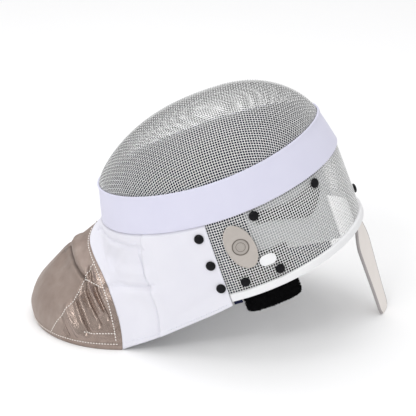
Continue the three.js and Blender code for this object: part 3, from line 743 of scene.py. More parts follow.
def side_wires():
    end = PANEL_EDGE + MESH_TUCK
    fine = np.linspace(-end, end, 1200)
    along = arc_lengths(on_wall(fine, SIDE_NET["counted_at"], WIRE["inset"]), 0) / MM
    degs = np.interp(np.arange(0, along[-1], WIRE["pitch"]), along, fine)
    top = edge_level(degs, SIDE_NET["top"], BAND["bottom_rise"])
    bottom = edge_level(degs, -WALL["depth"] + RIM["width"] - SIDE_NET["above_rim"], WALL["rise"])
    shares = np.linspace(0, 1, round(SIDE_NET["height"] / WIRE["pitch"]) + 1)[:, None]
    net = on_wall(degs[None, :], top + (bottom - top) * shares, WIRE["inset"])
    return weave_wires(net, np.ones(net.shape[:2], bool))


def make_baskets(face_enamel, side_enamel, tree):
    for node, wires, names, material in (
            ("face_mesh", face_wires(), ("face_wires_crosswise", "face_wires_lengthwise"), face_enamel),
            ("side_mesh", side_wires(), ("side_wires_round", "side_wires_upright"), side_enamel)):
        for name, lines in zip(names, wires):
            piece = strands(name, lines, WIRE["radius"], WIRE["sides"], material, tree)
            fit(piece, "white_wire", node)


# ---- band, rim and padding ----
def make_band(material):
    """The elastic trim: a soft bulge, and a little slack along its upper edge at the crown."""
    def slack(deg, share):
        at_crown = np.exp(-(np.minimum(deg, 360 - deg) / BAND_SLACK["crown_spread"]) ** 2)
        turn = np.radians(deg)
        ripple = np.sin(turn * BAND_SLACK["ripples"] + 3 * share) * np.sin(turn * BAND_SLACK["beats"] + 1)
        full = BAND_SLACK["full"] * np.sin(np.pi * share)
        return full + BAND_SLACK["slack"] * at_crown * ripple * (1 - share) ** 2

    degs = np.linspace(0, 360, 481)[:-1]
    piece = wall_strip("trim_band_elastic", degs, lambda deg: edge_level(deg, 0, BAND["top_rise"]),
                       lambda deg: BAND["depth"] + edge_level(deg, 0, BAND["top_rise"] - BAND["bottom_rise"]),
                       0.0, BAND["thickness"], BAND["corner"], material, closed=True, swell=slack, across=14)
    fit(piece, "lilac_elastic", "trim_band")
    round_it = float(arc_lengths(on_wall(degs, -BAND["depth"] / 2, 0), 0)[-1])
    BAND["depth"] * MM


def make_rim(material):
    end = PANEL_EDGE - RIM_CLEAR
    piece = wall_strip("rim_binding_tape", np.linspace(-end, end, 260),
                       lambda deg: edge_level(deg, -WALL["depth"] + RIM["width"], WALL["rise"]),
                       RIM["width"], 0.0, RIM["thickness"], RIM["corner"], material,
                       swell=lambda deg, share: RIM["full"] * np.sin(np.pi * share))
    fit(piece, "white_binding", "rim_binding")


def make_padding(navy, black, backing):
    liner = wall_strip("face_liner_padding", np.linspace(0, 360, 241)[:-1],
                       lambda deg: edge_level(deg, -LINER["top"], BAND["top_rise"]),
                       lambda deg: LINER["bottom"] - LINER["top"]
                       + edge_level(deg, 0, BAND["top_rise"] - BAND["bottom_rise"]),
                       LINER["inset"], LINER["thickness"], LINER["corner"], navy, closed=True)
    fit(liner, "navy_cloth", "face_liner")
    LINER["fill"]
    low, high = SIDE_PAD["from"], SIDE_PAD["to"]
    share = lambda deg: (high - abs(deg)) / (high - low)
    pad_top = lambda deg: -PAD_EDGES["top"] - PAD_EDGES["top_sag"] * np.sin(np.pi * share(deg))
    pad_bottom = lambda deg: -PAD_EDGES["bottom"] - PAD_EDGES["bottom_sag"] * np.sin(np.pi * share(deg) ** 2)
    drop = lambda deg: BACKING_EDGE["drop"] * max(BACKING_EDGE["drop_from"] - abs(deg), 0)
    backing_bottom = lambda deg: -min(BACKING_EDGE["bottom"] + drop(deg), BACKING_EDGE["lowest"])
    level = lambda value: lambda deg: value

    def waves(deg, down):
        """Soft upright waves where the loose layers hang from the band."""
        turn = np.radians(deg)
        return WAVES["height"] * down * np.sin(turn * WAVES["count"]) * np.sin(turn * WAVES["beats"] + 1)

    # Each layer: its node, word, upper and lower edge, sizes, material, slot and waves.
    layers = (
        ("side_pad", "cushion", pad_top, pad_bottom, SIDE_PAD, black, "black_foam", None),
        ("side_backing", "cloth", level(-SIDE_CLOTH_TOP), backing_bottom, BACKING, backing,
         "white_cloth", waves),
        ("side_lining", "cloth", level(-SIDE_CLOTH_TOP + SIDE_LINING["lap"]),
         level(-SIDE_LINING["bottom"]), SIDE_LINING, navy, "navy_cloth", waves),
        ("lining_edge", "cloth", level(-LINING_EDGE["top"]), level(-LINING_EDGE["bottom"]), LINING_EDGE,
         navy, "navy_cloth", None),
    )
    for name, sign in (("left", -1), ("right", 1)):
        for node, word, top, bottom, size, material, slot, swell in layers:
            degs = sign * np.linspace(size["from"], size["to"], 60)
            piece = wall_strip(f"{node}_{name}_{word}", degs, top, lambda deg: top(deg) - bottom(deg),
                               size["inset"], size["thickness"], size["corner"], material, swell=swell)
            fit(piece, slot, f"{node}_{name}")
            if "fill" in size:
                size["fill"]
                continue
            middle = on_wall(degs, np.array([(top(d) + bottom(d)) / 2 for d in degs]), size["inset"])
            wide = max(float(arc_lengths(middle, 0)[-1]), NARROWEST_SHEET)
            tall = max(top(d) - bottom(d) for d in degs) * MM
            hang(piece, (wide, tall))


# ---- bib ----
def bib_value(key, share):
    """A column of BIB_LINES at a share round, eased over the lines where it turns."""
    at, values = np.array(BIB_LINES["at"]), np.array(BIB_LINES[key])
    at = np.concatenate([[-at[1]], at])
    values = np.concatenate([[2 * values[0] - values[1]], values])
    near = np.asarray(share)[..., None] + np.linspace(-EASE, EASE, EASE_STEPS)
    return np.interp(1 - np.abs(1 - near), at, values).mean(-1)


def hem_point(step):
    step = np.asarray(step)
    straight = np.clip(step, 0, 1)
    x = HEM["back_x"] + (HEM["floor_x"] - HEM["back_x"]) * straight
    y = HEM["back_half_width"] + (HEM["half_width"] - HEM["back_half_width"]) * straight
    z = (x - HEM["floor_x"]) * HEM["slope"] - HEM["sag"] * np.sin(straight * np.pi)
    angle = np.clip(step - 1, 0, 1) * np.pi / 2
    x = x - (HEM["floor_x"] - HEM["tip_x"]) * np.sin(angle)
    y = np.where(step > 1, HEM["half_width"] * np.cos(angle), y)
    free = (step > 1)[..., None]
    out = np.where(free, np.stack([-np.sin(angle), np.cos(angle), 0 * angle], -1),
                   np.array([HEM["lean"], 1, 0]))
    return np.stack([x, y, np.maximum(z, 0)], -1) * MM, out


def bib_base(around, down):
    """The bib's outer face without its folds."""
    around, down = np.broadcast_arrays(np.asarray(around, float), np.asarray(down, float))
    share = 1 - np.abs(1 - around)
    ring = bib_value("ring", share)
    top_level = edge_level(ring, -BIB["top"], BAND["bottom_rise"])
    hem, hem_out = hem_point(bib_value("hem", share))
    hem_level = ((hem[..., 2] / MM - RING_CENTRE["z"]) * math.cos(PITCH)
                 - (hem[..., 0] / MM - RING_CENTRE["x"]) * math.sin(PITCH))
    wall = on_wall(ring, top_level + (hem_level - top_level) * down, 0)
    top = on_wall(ring, top_level, 0)
    angle = np.radians(ring)
    out_top = np.stack([np.cos(angle), np.sin(angle), 0 * angle], -1)
    size = lambda key: bib_value(key, share)[..., None] * MM
    handle_top = top + out_top * size("top_out") + mask_direction(0, 0, -1) * size("top_down")
    handle_hem = hem + hem_out * size("hem_out") + np.array([0, 0, 1]) * size("hem_up")
    t = down[..., None]
    curve = ((1 - t) ** 3 * top + 3 * (1 - t) ** 2 * t * handle_top
             + 3 * (1 - t) * t ** 2 * handle_hem + t ** 3 * hem)
    free = smooth(share / FREE_BY)[..., None]
    point = wall + (curve - wall) * free
    return point * np.where(around[..., None] > 1, np.array([1, -1, 1]), 1)


# Folds and wrinkles: a line from one place to another, its half width and its height out of
# the cloth. The left side of the mask is 1 to 2 round, the right side 0 to 1.
FOLDS = (
    # around from, to; down from, to; half width; height
    ((1.10, 1.36), (0.44, 0.74), 14.0, -2.4), ((1.06, 1.30), (0.30, 0.34), 9.0, 2.0),
    ((1.64, 1.54), (0.16, 0.42), 8.0, -3.4), ((1.58, 1.52), (0.20, 0.40), 7.0, 2.2),
    ((1.69, 1.47), (0.57, 0.66), 12.0, 3.4), ((1.69, 1.49), (0.40, 0.48), 10.0, 2.8),
    ((1.71, 1.46), (0.505, 0.62), 3.6, -3.2), ((1.71, 1.38), (0.145, 0.13), 4.2, -2.0),
    ((1.75, 1.90), (0.30, 0.16), 16.0, 1.2), ((1.80, 1.93), (0.86, 0.80), 12.0, -1.5),
    ((1.62, 1.55), (0.70, 0.92), 12.0, -1.6),
    ((0.88, 0.58), (0.42, 0.66), 10.0, 2.5), ((0.84, 0.62), (0.56, 0.76), 12.0, -2.5),
    ((0.38, 0.46), (0.20, 0.44), 8.0, -3.0), ((0.31, 0.53), (0.43, 0.50), 12.0, 1.8),
    ((0.29, 0.54), (0.505, 0.62), 3.6, -3.0), ((0.29, 0.62), (0.145, 0.13), 4.2, -2.0),
    ((0.20, 0.08), (0.28, 0.18), 16.0, 1.2),
)
# The pleat sewn into the lame: a sharp crease under a soft roll, on both sides of the front.
PLEAT = {"around": (1.02, 1.09, 1.20, 1.28, 1.35), "down": (0.34, 0.36, 0.40, 0.46, 0.54)}
PLEAT_SHAPE = ((0.0, 2.6, -3.6), (0.045, 6.5, 3.2), (-0.05, 9.0, -1.2))
# Long tight wrinkles that the seams pull across the glossy part.
WRINKLES = (
    ((1.375, 1.43), (0.58, 0.76), 2.6, 2.6), ((1.355, 1.42), (0.62, 0.84), 2.8, -2.2),
    ((1.340, 1.40), (0.66, 0.88), 2.6, 2.4), ((1.320, 1.375), (0.70, 0.90), 3.0, -2.2),
    ((1.405, 1.455), (0.60, 0.80), 2.4, -2.0), ((1.425, 1.47), (0.62, 0.84), 2.2, 2.0),
    ((1.290, 1.345), (0.74, 0.92), 2.8, 2.0), ((1.270, 1.305), (0.80, 0.94), 2.6, -1.6),
    ((1.385, 1.405), (0.47, 0.56), 2.2, 2.0), ((1.370, 1.380), (0.46, 0.54), 2.2, -1.6),
)


def ridge(around, down, ends_around, ends_down, width, height):
    """How far a fold lifts the cloth: rounded across its line and fading at its ends."""
    scale_round, scale_down = CLOTH_SCALE
    x, y = around * scale_round, down * scale_down
    x0, y0 = ends_around[0] * scale_round, ends_down[0] * scale_down
    dx, dy = ends_around[1] * scale_round - x0, ends_down[1] * scale_down - y0
    t = np.clip(((x - x0) * dx + (y - y0) * dy) / (dx * dx + dy * dy), 0, 1)
    distance = np.hypot(x - x0 - t * dx, y - y0 - t * dy)
    return height * np.exp(-(distance / width) ** 2)


def pleat_lift(around, down):
    """The pleat's crease and roll: the most that any stretch of it lifts or sinks a place."""
    lift = np.zeros(np.broadcast(around, down).shape)
    for shift, width, height in PLEAT_SHAPE:
        stretches = [ridge(around, down, PLEAT["around"][k:k + 2],
                           tuple(d - shift for d in PLEAT["down"][k:k + 2]), width, height)
                     for k in range(len(PLEAT["around"]) - 1)]
        lift = lift + (np.max(stretches, 0) if height > 0 else np.min(stretches, 0))
    return lift


def cloth_lift(around, down):
    lift = np.zeros(np.broadcast(around, down).shape)
    for ends_around, ends_down, width, height in FOLDS:
        lift = lift + ridge(around, down, ends_around, ends_down, width, height)
    for ends_around, ends_down, width, height in WRINKLES:
        lift = lift + ridge(around, down, ends_around, ends_down, width, height * WRINKLE_LIFT)
        mirrored = tuple(2 - place_round for place_round in ends_around)
        lift = lift + ridge(around, down, mirrored, ends_down, width, height * WRINKLE_LIFT)
    lift = lift + pleat_lift(around, down) + pleat_lift(2 - around, down)
    share = 1 - np.abs(1 - around)
    # The hem is turned under and a little thicker, and the top edge tucks in behind the band.
    lift = lift + HEM_TURN["lift"] * smooth((down - HEM_TURN["from"]) / HEM_TURN["over"])
    lift = lift - BAND_TUCK["sink"] * (1 - smooth(down / BAND_TUCK["over"]))
    soft = SAG["height"] * np.sin(around * 23 + down * 9) * np.sin(down * 17 - around * 5)
    return lift + soft * smooth(share / SAG["free_from"]) * np.sin(np.pi * np.clip(down, 0, 1))


def panel_seam(down):
    """Where round the bib the side panel's sewn edge is, as a share from the side mesh."""
    return PANEL_SEAM["at_hem"] - PANEL_SEAM["lean"] * np.exp(-down / PANEL_SEAM["down"])


def panel_lift(around, down):
    """The side panel is sewn on over the front, its edge turned under."""
    share = 1 - np.abs(1 - around)
    near_edge = smooth((share - panel_seam(down) + PANEL_TURN["from"]) / PANEL_TURN["over"])
    return PANEL_TURN["lift"] * near_edge


def front_lift(around, down):
    """The front passes under the side panel at one edge and under the lame at the other."""
    share = 1 - np.abs(1 - around)
    past_panel = smooth((share - panel_seam(down) - FRONT_TUCK["panel_gap"]) / FRONT_TUCK["panel_over"])
    at_lame = smooth((share - lame_seam(down) + FRONT_TUCK["lame_gap"]) / FRONT_TUCK["lame_over"])
    return -FRONT_TUCK["sink"] * (1 - past_panel) - FRONT_TUCK["sink"] * at_lame


def bib_surface(around, down, depth=0.0):
    """Points of the folded bib at a depth under its face, and the directions out of it."""
    around, down = np.broadcast_arrays(np.asarray(around, float), np.asarray(down, float))
    step, face = BIB_STEP, bib_base(around, down)
    across = bib_base(around + step, down) - bib_base(around - step, down)
    along = bib_base(around, down + step) - bib_base(around, down - step)
    out = unit(np.cross(across, along))
    outwards = (out * (face - place(*INSIDE))).sum(-1, keepdims=True)
    out = out * np.where(outwards < 0, -1, 1)
    point = face + out * (cloth_lift(around, down) - depth)[..., None] * MM
    point[..., 2] = np.maximum(point[..., 2], FLOOR_CLEAR)
    return point, out


def lame_seam(down):
    """Where round the bib the white front meets the lame, as a share from the side mesh."""
    swept = LAME_SEAM["hem"] + LAME_SEAM["sweep"] * np.exp(-down / LAME_SEAM["down"])
    return np.minimum(1, swept)


def cloth_piece(name, start, end, columns, rows, material, node, slot, top=0.0, bottom=1.0,
                depth=0.0, thickness=None, gloss=None, lift=None):
    """A cut piece of the bib between two places round it, each a function of down."""
    downs = np.linspace(top, bottom, rows + 1)[:, None]
    shares = np.linspace(0, 1, columns + 1)[None, :]
    around = start(downs) + (end(downs) - start(downs)) * shares
    every_down = np.broadcast_to(downs, around.shape)
    sunk = depth if lift is None else depth - lift(around, every_down)
    points, _ = bib_surface(around, every_down, sunk)
    at = lambda i, j: i * (columns + 1) + j
    faces = [(at(i, j), at(i + 1, j), at(i + 1, j + 1), at(i, j + 1))
             for i in range(rows) for j in range(columns)]
    wide, tall = arc_lengths(points, 1), arc_lengths(points, 0)
    uvs = np.stack([wide, tall], -1).reshape(-1, 2)
    piece = make_piece(name, points.reshape(-1, 3), faces, material, uvs)
    if gloss is not None:
        # Painted shade for the lame's pleat: darkest where the crease sinks deepest, kept as a point
        # attribute.
        pleats = pleat_lift(around, every_down) + pleat_lift(2 - around, every_down)
        crease = -(pleats + PLEAT_PAINTED_SHADE["from"]) / PLEAT_PAINTED_SHADE["over"]
        for label, values in (("gloss", gloss(around, every_down)), ("pleat_painted_shade", np.clip(crease, 0, 1))):
            piece.data.attributes.new(label, "FLOAT", "POINT").data.foreach_set(
                "value", values.ravel().astype(np.float32))
    sample = piece.data.polygons[len(faces) // 2]
    inward = sample.normal.dot(Vector(place(*INSIDE)) - sample.center)
    if inward > 0:
        piece.data.flip_normals()
    wall = piece.modifiers.new("wall", "SOLIDIFY")
    wall.thickness = (thickness or BIB["cloth"]) * MM
    wall.offset = -1
    bake(piece)
    fit(piece, slot, node)
    hang(piece, (float(wide[:, -1].max()), float(tall[-1].max())))


def make_bib(white, lame, navy):
    level = lambda value: lambda down: np.full_like(down, value)
    mirror = lambda edge: lambda down: 2 - edge(down)
    near_seam = lambda down: np.minimum(lame_seam(down) + SEAM_LAP, 1 - SEAM_LAP)
    past_seam = lambda down: np.minimum(lame_seam(down), 1 - SEAM_LAP)
    # Where the white pieces of the right side start and end. The left ones are their mirror.
    sewn = (("bib_panel", level(0.0), lambda down: panel_seam(down) + SEAM_LAP, (50, 90), panel_lift),
            ("bib_front", lambda down: panel_seam(down) - 2 * SEAM_LAP, near_seam, (100, 100), front_lift))
    for node, start, end, counts, lift in sewn:
        for side, edges in (("right", (start, end)), ("left", (mirror(end), mirror(start)))):
            cloth_piece(f"{node}_{side}_cloth", *edges, *counts, white, f"{node}_{side}", "white_cloth",
                        top=BIB_TOP_TUCK, lift=lift)

    def gloss(around, down):
        beyond = np.abs(around - 1) - GLOSS["round"] - GLOSS["lean"] * (1 - down)
        return smooth(beyond / GLOSS["edge"]) * smooth((down - GLOSS["down"]) / GLOSS["fade"])

    cloth_piece("bib_lame_cloth", past_seam, mirror(past_seam), 300, 150, lame, "bib_lame",
                "lame_cloth", top=LAME_TOP, gloss=gloss)
    start = level(BIB_LINING["from"])
    cloth_piece("bib_lining_cloth", start, mirror(start), 160, 50, navy, "bib_lining",
                "navy_cloth", top=0.0, bottom=BIB_LINING["bottom"], depth=BIB["lining_depth"],
                thickness=BIB["lining_cloth"])


STITCH = {"pitch": 3.4, "length": 2.2, "radius": 0.62, "lift": 0.2}
# Rows of stitching on one side of the bib, as places round it and down it.
STITCH_ROWS = {
    "lame": (
        {"around": (0.60, 0.65, 0.67, 0.71, 0.73, 0.77), "down": (0.42, 0.54, 0.64, 0.76, 0.82, 0.955)},
        {"around": (0.65, 0.59, 0.555), "down": (0.54, 0.585, 0.62)},
        {"around": (0.525, 0.64), "down": (0.90, 0.90)},
        {"around": (0.52, 1.0), "down": (0.965, 0.965)},
    ),
    "white": (
        {"around": (0.52, 0.39, 0.31), "down": (0.62, 0.56, 0.51)},
        {"around": (0.305, 0.305), "down": (0.05, 0.96)},
        {"around": (0.02, 0.49), "down": (0.965, 0.965)},
        {"around": (0.31, 0.40, 0.50, 0.62), "down": (0.10, 0.13, 0.12, 0.10)},
    ),
}


def stitch_places(arounds, downs, pitch, depth):
    """Even places along a row of stitching, with the way out and the way along."""
    turns = arc_lengths(np.stack([arounds, downs], -1) * np.array(CLOTH_SCALE), 0)
    fine = np.linspace(0, turns[-1], 600)
    around, down = np.interp(fine, turns, arounds), np.interp(fine, turns, downs)
    points, out = bib_surface(around, down, depth)
    run = arc_lengths(points, 0)
    wanted = np.arange(pitch * MM / 2, run[-1], pitch * MM)
    pick = lambda values: np.stack([np.interp(wanted, run, values[:, k]) for k in range(3)], -1)
    middle = pick(points)
    along = unit(np.gradient(middle, axis=0))
    return middle, unit(pick(out)), along


def stitch_shape(length, radius):
    """One stitch lying along X, six-sided and drawn in at its ends."""
    shares = ((-0.5, 0.35), (-0.32, 1.0), (0.32, 1.0), (0.5, 0.35))
    rings = [[(x * length, radius * r * math.cos(a), radius * r * 0.8 * math.sin(a))
              for a in np.arange(6) * math.pi / 3] for x, r in shares]
    return loft("stitch", np.array(rings) * MM, None)


def lame_edge_rows():
    """The row that follows the seam between the lame and the white, just inside the lame."""
    downs = np.linspace(0.14, 0.955, 60)
    return {"around": tuple(lame_seam(downs) + 0.022), "down": tuple(downs)}


def make_stitches(tree, pale_thread, white_thread):
    for name, rows, material, slot in (
            ("lame_stitches", STITCH_ROWS["lame"] + (lame_edge_rows(),), pale_thread, "lame_cloth"),
            ("bib_stitches", STITCH_ROWS["white"], white_thread, "white_cloth")):
        found = []
        for row in rows:
            for mirror in (False, True):
                around = 2 - np.array(row["around"]) if mirror else np.array(row["around"])
                found.append(stitch_places(around, row["down"], STITCH["pitch"], -STITCH["lift"]))
        places, outs, alongs = (np.concatenate(parts) for parts in zip(*found))
        stitch = stitch_shape(STITCH["length"], STITCH["radius"])
        piece = scatter(name, places, outs, alongs, stitch, material, tree)
        fit(piece, slot)


# ---- hardware ----
RIVET = {"radius": 5.5, "height": 3.4, "brim": 0.8, "edge": 0.3, "edge_rise": 0.25, "fullness": 0.85,
         "on_panel": -0.4, "on_wires": 2.5, "sides": 28}
RIVET_ROWS = {
    "name": ("panel_rivet_top", "panel_rivet_middle", "panel_rivet_bottom", "strap_rivet_front",
             "strap_rivet_back", "pad_rivet_front", "pad_rivet_back"),
    "u": (-32.0, -30.0, -28.0, 0.0, 41.6, 33.4, 107.0),
    "w": (-54.0, -87.0, -116.0, -117.5, -117.0, -49.0, -49.0),
}
CROWN_RIVET_W = -102.0
PLATE = {"length": 54.0, "width": 32.0, "thickness": 1.0, "u": 8.4, "w": -76.5, "turn": 12.0, "seat": 1.1}
# The plate's rolled edge: share of its half sizes and share of its thickness. Then the plain
# rings in its middle: radius and share of its thickness.
PLATE_EDGE = ((1.0, 0.0), (1.0, 0.6), (0.985, 0.9), (0.965, 1.0), (0.93, 1.0), (0.915, 0.82))
PLATE_RINGS = ((10.0, 0.82), (9.8, 1.12), (9.1, 1.12), (8.9, 0.82), (8.4, 0.82), (8.3, 0.98), (8.0, 0.98),
               (7.9, 0.82), (4.0, 0.82), (3.8, 0.98), (3.2, 0.98), (3.0, 0.82))
TAB = {"length": 19.5, "width": 12.5, "u": 32.2, "w": -101.3, "seat": 0.8}
# From the tab's foot up to its middle: how far in, and how high.
TAB_EDGE = ((0.0, 0.0), (0.0, 1.0), (0.25, 1.35), (0.7, 1.55), (1.3, 1.6), (1.9, 1.42))
# Half the stretch of wall that a fitting lies flat on.
SEAT_REACH = 0.5


def seat(side, u, w, inset):
    """Where a small piece sits on the wall: its place, the way round, up and out."""
    crown, chin, _ = reaches(w, 0)
    cosine = signed_power(np.float64(u) / (crown if u > 0 else chin), RING["roundness"] / 2)
    deg = math.degrees(math.acos(float(np.clip(cosine, -1, 1)))) * side
    middle = on_wall(deg, w, inset)
    across = unit(on_wall(deg + SEAT_REACH, w, inset) - on_wall(deg - SEAT_REACH, w, inset))
    up = unit(on_wall(deg, w + SEAT_REACH, inset) - on_wall(deg, w - SEAT_REACH, inset))
    out = unit(np.cross(across, up))
    return middle, across, np.cross(out, across), out


def turned(name, profile, segments, material):
    """A solid turned about Z from (radius, height) pairs that start and end on the axis."""
    rings = profile[1:-1]
    points = [(0, 0, profile[0][1])]
    for radius, height in rings:
        points += [(radius * math.cos(a), radius * math.sin(a), height)
                   for a in np.arange(segments) * 2 * math.pi / segments]
    points.append((0, 0, profile[-1][1]))
    last = len(points) - 1
    at = lambda i, j: 1 + i * segments + j % segments
    faces = [(0, at(0, j + 1), at(0, j)) for j in range(segments)]
    faces += [(at(i, j), at(i, j + 1), at(i + 1, j + 1), at(i + 1, j))
              for i in range(len(rings) - 1) for j in range(segments)]
    faces += [(last, at(len(rings) - 1, j), at(len(rings) - 1, j + 1)) for j in range(segments)]
    return face_outwards(make_piece(name, np.array(points) * MM, faces, material))


def make_rivets(material, tree):
    full = RIVET["radius"]
    head = [(0, 0), (full - RIVET["edge"], 0), (full, RIVET["edge_rise"]), (full, RIVET["brim"])]
    for share in np.linspace(0, 1, 8)[1:]:
        angle = share * math.pi / 2
        radius = 0 if share == 1 else full * math.cos(angle) ** RIVET["fullness"]
        head.append((radius, RIVET["brim"] + (RIVET["height"] - RIVET["brim"]) * math.sin(angle)))
    seats, nodes = [], []
    for side, name in ((-1, "left"), (1, "right")):
        for row, u, w in zip(RIVET_ROWS["name"], RIVET_ROWS["u"], RIVET_ROWS["w"]):
            inset = RIVET["on_panel"] if row.startswith("panel") else RIVET["on_wires"]
            seats.append(seat(side, u, w, inset))
            nodes.append(f"{row}_{name}")
    crown = float(reaches(CROWN_RIVET_W, 0)[0]) - TINY
    seats.append(seat(1, crown, CROWN_RIVET_W, RIVET["on_wires"]))
    nodes.append("crown_rivet")
    places, alongs, _, outs = (np.array(values) for values in zip(*seats))
    shape = turned("head", head, RIVET["sides"], None)
    piece = scatter("rivet_heads", places, outs, alongs, shape, material, tree)
    fit(piece, "black_enamel", *nodes)


def settle(piece, side, u, w, inset):
    """Moves a piece made flat on XY on to the wall."""
    middle, across, up, out = seat(side, u, w, inset)
    points = np.array([v.co[:] for v in piece.data.vertices])
    points = middle + points[:, :1] * across + points[:, 1:2] * up + points[:, 2:] * out
    piece.data.vertices.foreach_set("co", points.astype(np.float32).ravel())
    piece.data.update()
    return face_outwards(piece)


def make_plate(material):
    """An oval metal plate with a rolled edge and plain raised rings in its middle."""
    segments = 72
    turn = math.radians(PLATE["turn"])
    angles = np.arange(segments) * 2 * math.pi / segments
    reached = [(PLATE["width"] / 2 * share, PLATE["length"] / 2 * share, high) for share, high in PLATE_EDGE]
    reached += [(radius, radius, high) for radius, high in PLATE_RINGS]
    loops = [np.stack([a * np.cos(angles), b * np.sin(angles), 0 * angles + high * PLATE["thickness"]], -1)
             for a, b, high in reached]
    points = np.concatenate(loops)
    flat = points[:, :2] * MM
    spin = np.array([[math.cos(turn), -math.sin(turn), 0], [math.sin(turn), math.cos(turn), 0], [0, 0, 1]])
    points = points @ spin.T
    at = lambda i, j: i * segments + j % segments
    faces = [(at(i, j), at(i, j + 1), at(i + 1, j + 1), at(i + 1, j))
             for i in range(len(loops) - 1) for j in range(segments)]
    faces += [tuple(reversed(range(segments))), tuple(at(len(loops) - 1, j) for j in range(segments))]
    piece = make_piece("oval_plate_metal", points * MM, faces, material, uvs=flat, smooth_shade=False)
    settle(piece, -1, PLATE["u"], PLATE["w"], WIRE_FACE - PLATE["seat"])
    fit(piece, "pale_metal", "oval_plate")


def make_tab(material):
    half, radius = TAB["length"] / 2 - TAB["width"] / 2, TAB["width"] / 2
    turn = np.linspace(-math.pi / 2, math.pi / 2, 17)
    rings = []
    for shrink, height in TAB_EDGE:
        r = radius - shrink
        right = np.stack([half + r * np.cos(turn), r * np.sin(turn)], -1)
        loop = np.concatenate([right, -right])
        rings.append(np.column_stack([loop, np.full(len(loop), height)]))
    piece = loft("side_tab_plastic", np.array(rings) * MM, material)
    settle(piece, -1, TAB["u"], TAB["w"], WIRE_FACE - TAB["seat"])
    fit(piece, "white_plastic", "side_tab")


# ---- back tongue and strap ----
TONGUE = {"half_width": 20.0, "foot_half_width": 13.0, "thickness": 4.0, "clearance": 6.5,
          "top_w": -88.0, "foot_x": 214.25, "rounding": 11.0, "end": 0.55}
TONGUE_TURN = {"degrees": 23.0, "from": 0.2, "to": 0.5}
TONGUE_BEND = {"drop": 14.0, "share": 0.3}
TONGUE_COVER = {"slack": 0.6, "corner": 1.4, "swell": 0.3, "fill": 0.6}
PIPING = {"radius": 1.9, "sides": 8, "inset": 0.6, "clear": 0.0022}
STRAP = {"from_u": -9.0, "to_u": 57.0, "inset": 5.2, "thickness": 4.0, "top_w": -93.0, "bottom_w": -157.5,
         "corner": 7.0}
# The band in the middle of the pile, and how much longer it is than it lies.
STRAP_BAND = {"pile": 0.6, "corner": 1.1}
STRAP_EASE = 1.03
# Cut pile: tufts, the shares of them on the sides and along the foot, and how deep they root.
PILE = {"count": 2600, "on_sides": 0.16, "on_foot": 0.1, "face": 0.5, "edge": 0.8, "lean": 0.35}
TUFT = ((0, -0.2), (0.45, 0), (0.38, 1.0), (0, 1.9))


def bezier(points, count=40):
    """Points of a Bezier curve of any degree."""
    t = np.linspace(0, 1, count)[:, None]
    rows = [np.repeat(np.asarray(p, float)[None], count, 0) for p in points]
    while len(rows) > 1:
        rows = [a + (b - a) * t for a, b in zip(rows, rows[1:])]
    return rows[0]


def even_path(curves, count):
    """Points at even lengths along several curves in a row."""
    points = np.concatenate([curves[0]] + [curve[1:] for curve in curves[1:]])
    run = arc_lengths(points, 0)
    wanted = np.linspace(0, run[-1], count)
    return np.stack([np.interp(wanted, run, points[:, k]) for k in range(3)], -1), run[-1]


def ribbon_rings(points, outs, acrosses, half_widths, thickness, corner, swell):
    """Rings of a soft strip along a path, its faces a little crowned."""
    rings = []
    for point, out, across, half in zip(points, outs, acrosses, half_widths):
        wide, deep = strip_section(2 * half, thickness, min(corner, half * 0.9), 12)
        crown = swell * (1 - ((wide - half) / half) ** 2) * np.sign(deep - thickness / 2)
        sunk = deep - thickness / 2 + crown
        ring = point + across * (wide - half)[:, None] * MM - out * sunk[:, None] * MM
        ring[:, 2] = np.maximum(ring[:, 2], FLOOR_CLEAR)
        rings.append(ring)
    return rings


def make_tongue(material, edge_material, tree):
    wires_u = float(reaches(TONGUE["top_w"], 0)[0]) - WIRE_FACE
    top_u = wires_u - TONGUE["clearance"] - TONGUE["thickness"] / 2
    rim = -WALL["depth"] + WALL["rise"]
    top, at_rim, knee = (place(top_u, 0, w) for w in (TONGUE["top_w"], rim, rim - TONGUE_BEND["drop"]))
    foot = np.array([TONGUE["foot_x"] * MM, 0, 0])
    past_knee = knee + (foot - knee) * TONGUE_BEND["share"]
    path, length = even_path([bezier([top, at_rim]), bezier([at_rim, knee, past_knee]),
                              bezier([past_knee, foot])], 90)
    share = np.linspace(0, 1, len(path))
    along = unit(np.gradient(path, axis=0))
    turn = smooth((share - TONGUE_TURN["from"]) / (TONGUE_TURN["to"] - TONGUE_TURN["from"]))
    turn = (turn * math.radians(TONGUE_TURN["degrees"]))[:, None]
    sideways = np.array([0, 1, 0])
    across = sideways * np.cos(turn) + np.cross(along, sideways) * np.sin(turn)
    out = -unit(np.cross(along, across))
    from_end = np.minimum(share, 1 - share) * length / MM
    rounded = np.sqrt(1 - np.clip(1 - from_end / TONGUE["rounding"], 0, 1) ** 2)
    narrowed = smooth((share - TONGUE_BEND["share"]) / (1 - TONGUE_BEND["share"]))
    taper = TONGUE["half_width"] + (TONGUE["foot_half_width"] - TONGUE["half_width"]) * narrowed
    half = taper * (TONGUE["end"] + (1 - TONGUE["end"]) * rounded)
    rings = ribbon_rings(path, out, across, half, TONGUE["thickness"] - TONGUE_COVER["slack"],
                         TONGUE_COVER["corner"], TONGUE_COVER["swell"])
    cover = loft("back_tongue_cover", rings, material)
    fit(cover, "white_padding", "back_tongue")
    TONGUE_COVER["fill"]
    # Piping beads along both edges of the tongue; their grey-brown colour is painted shade on those edges.
    edges = [(path + across * (side * (half - PIPING["inset"]) * MM)[:, None])[1:-1] for side in (-1, 1)]
    for line in edges:
        line[:, 2] = np.maximum(line[:, 2], PIPING["clear"])
    piping = strands("back_tongue_piping", edges, PIPING["radius"], PIPING["sides"],
                     edge_material, tree)
    fit(piping, "white_padding")


def strap_half_width(w):
    """How far a strap end reaches each side of its middle: less at its rounded corners."""
    into = np.clip((STRAP["bottom_w"] + STRAP["corner"] - w) / STRAP["corner"], 0, 1)
    return (STRAP["to_u"] - STRAP["from_u"]) / 2 - STRAP["corner"] * (1 - np.sqrt(1 - into ** 2))


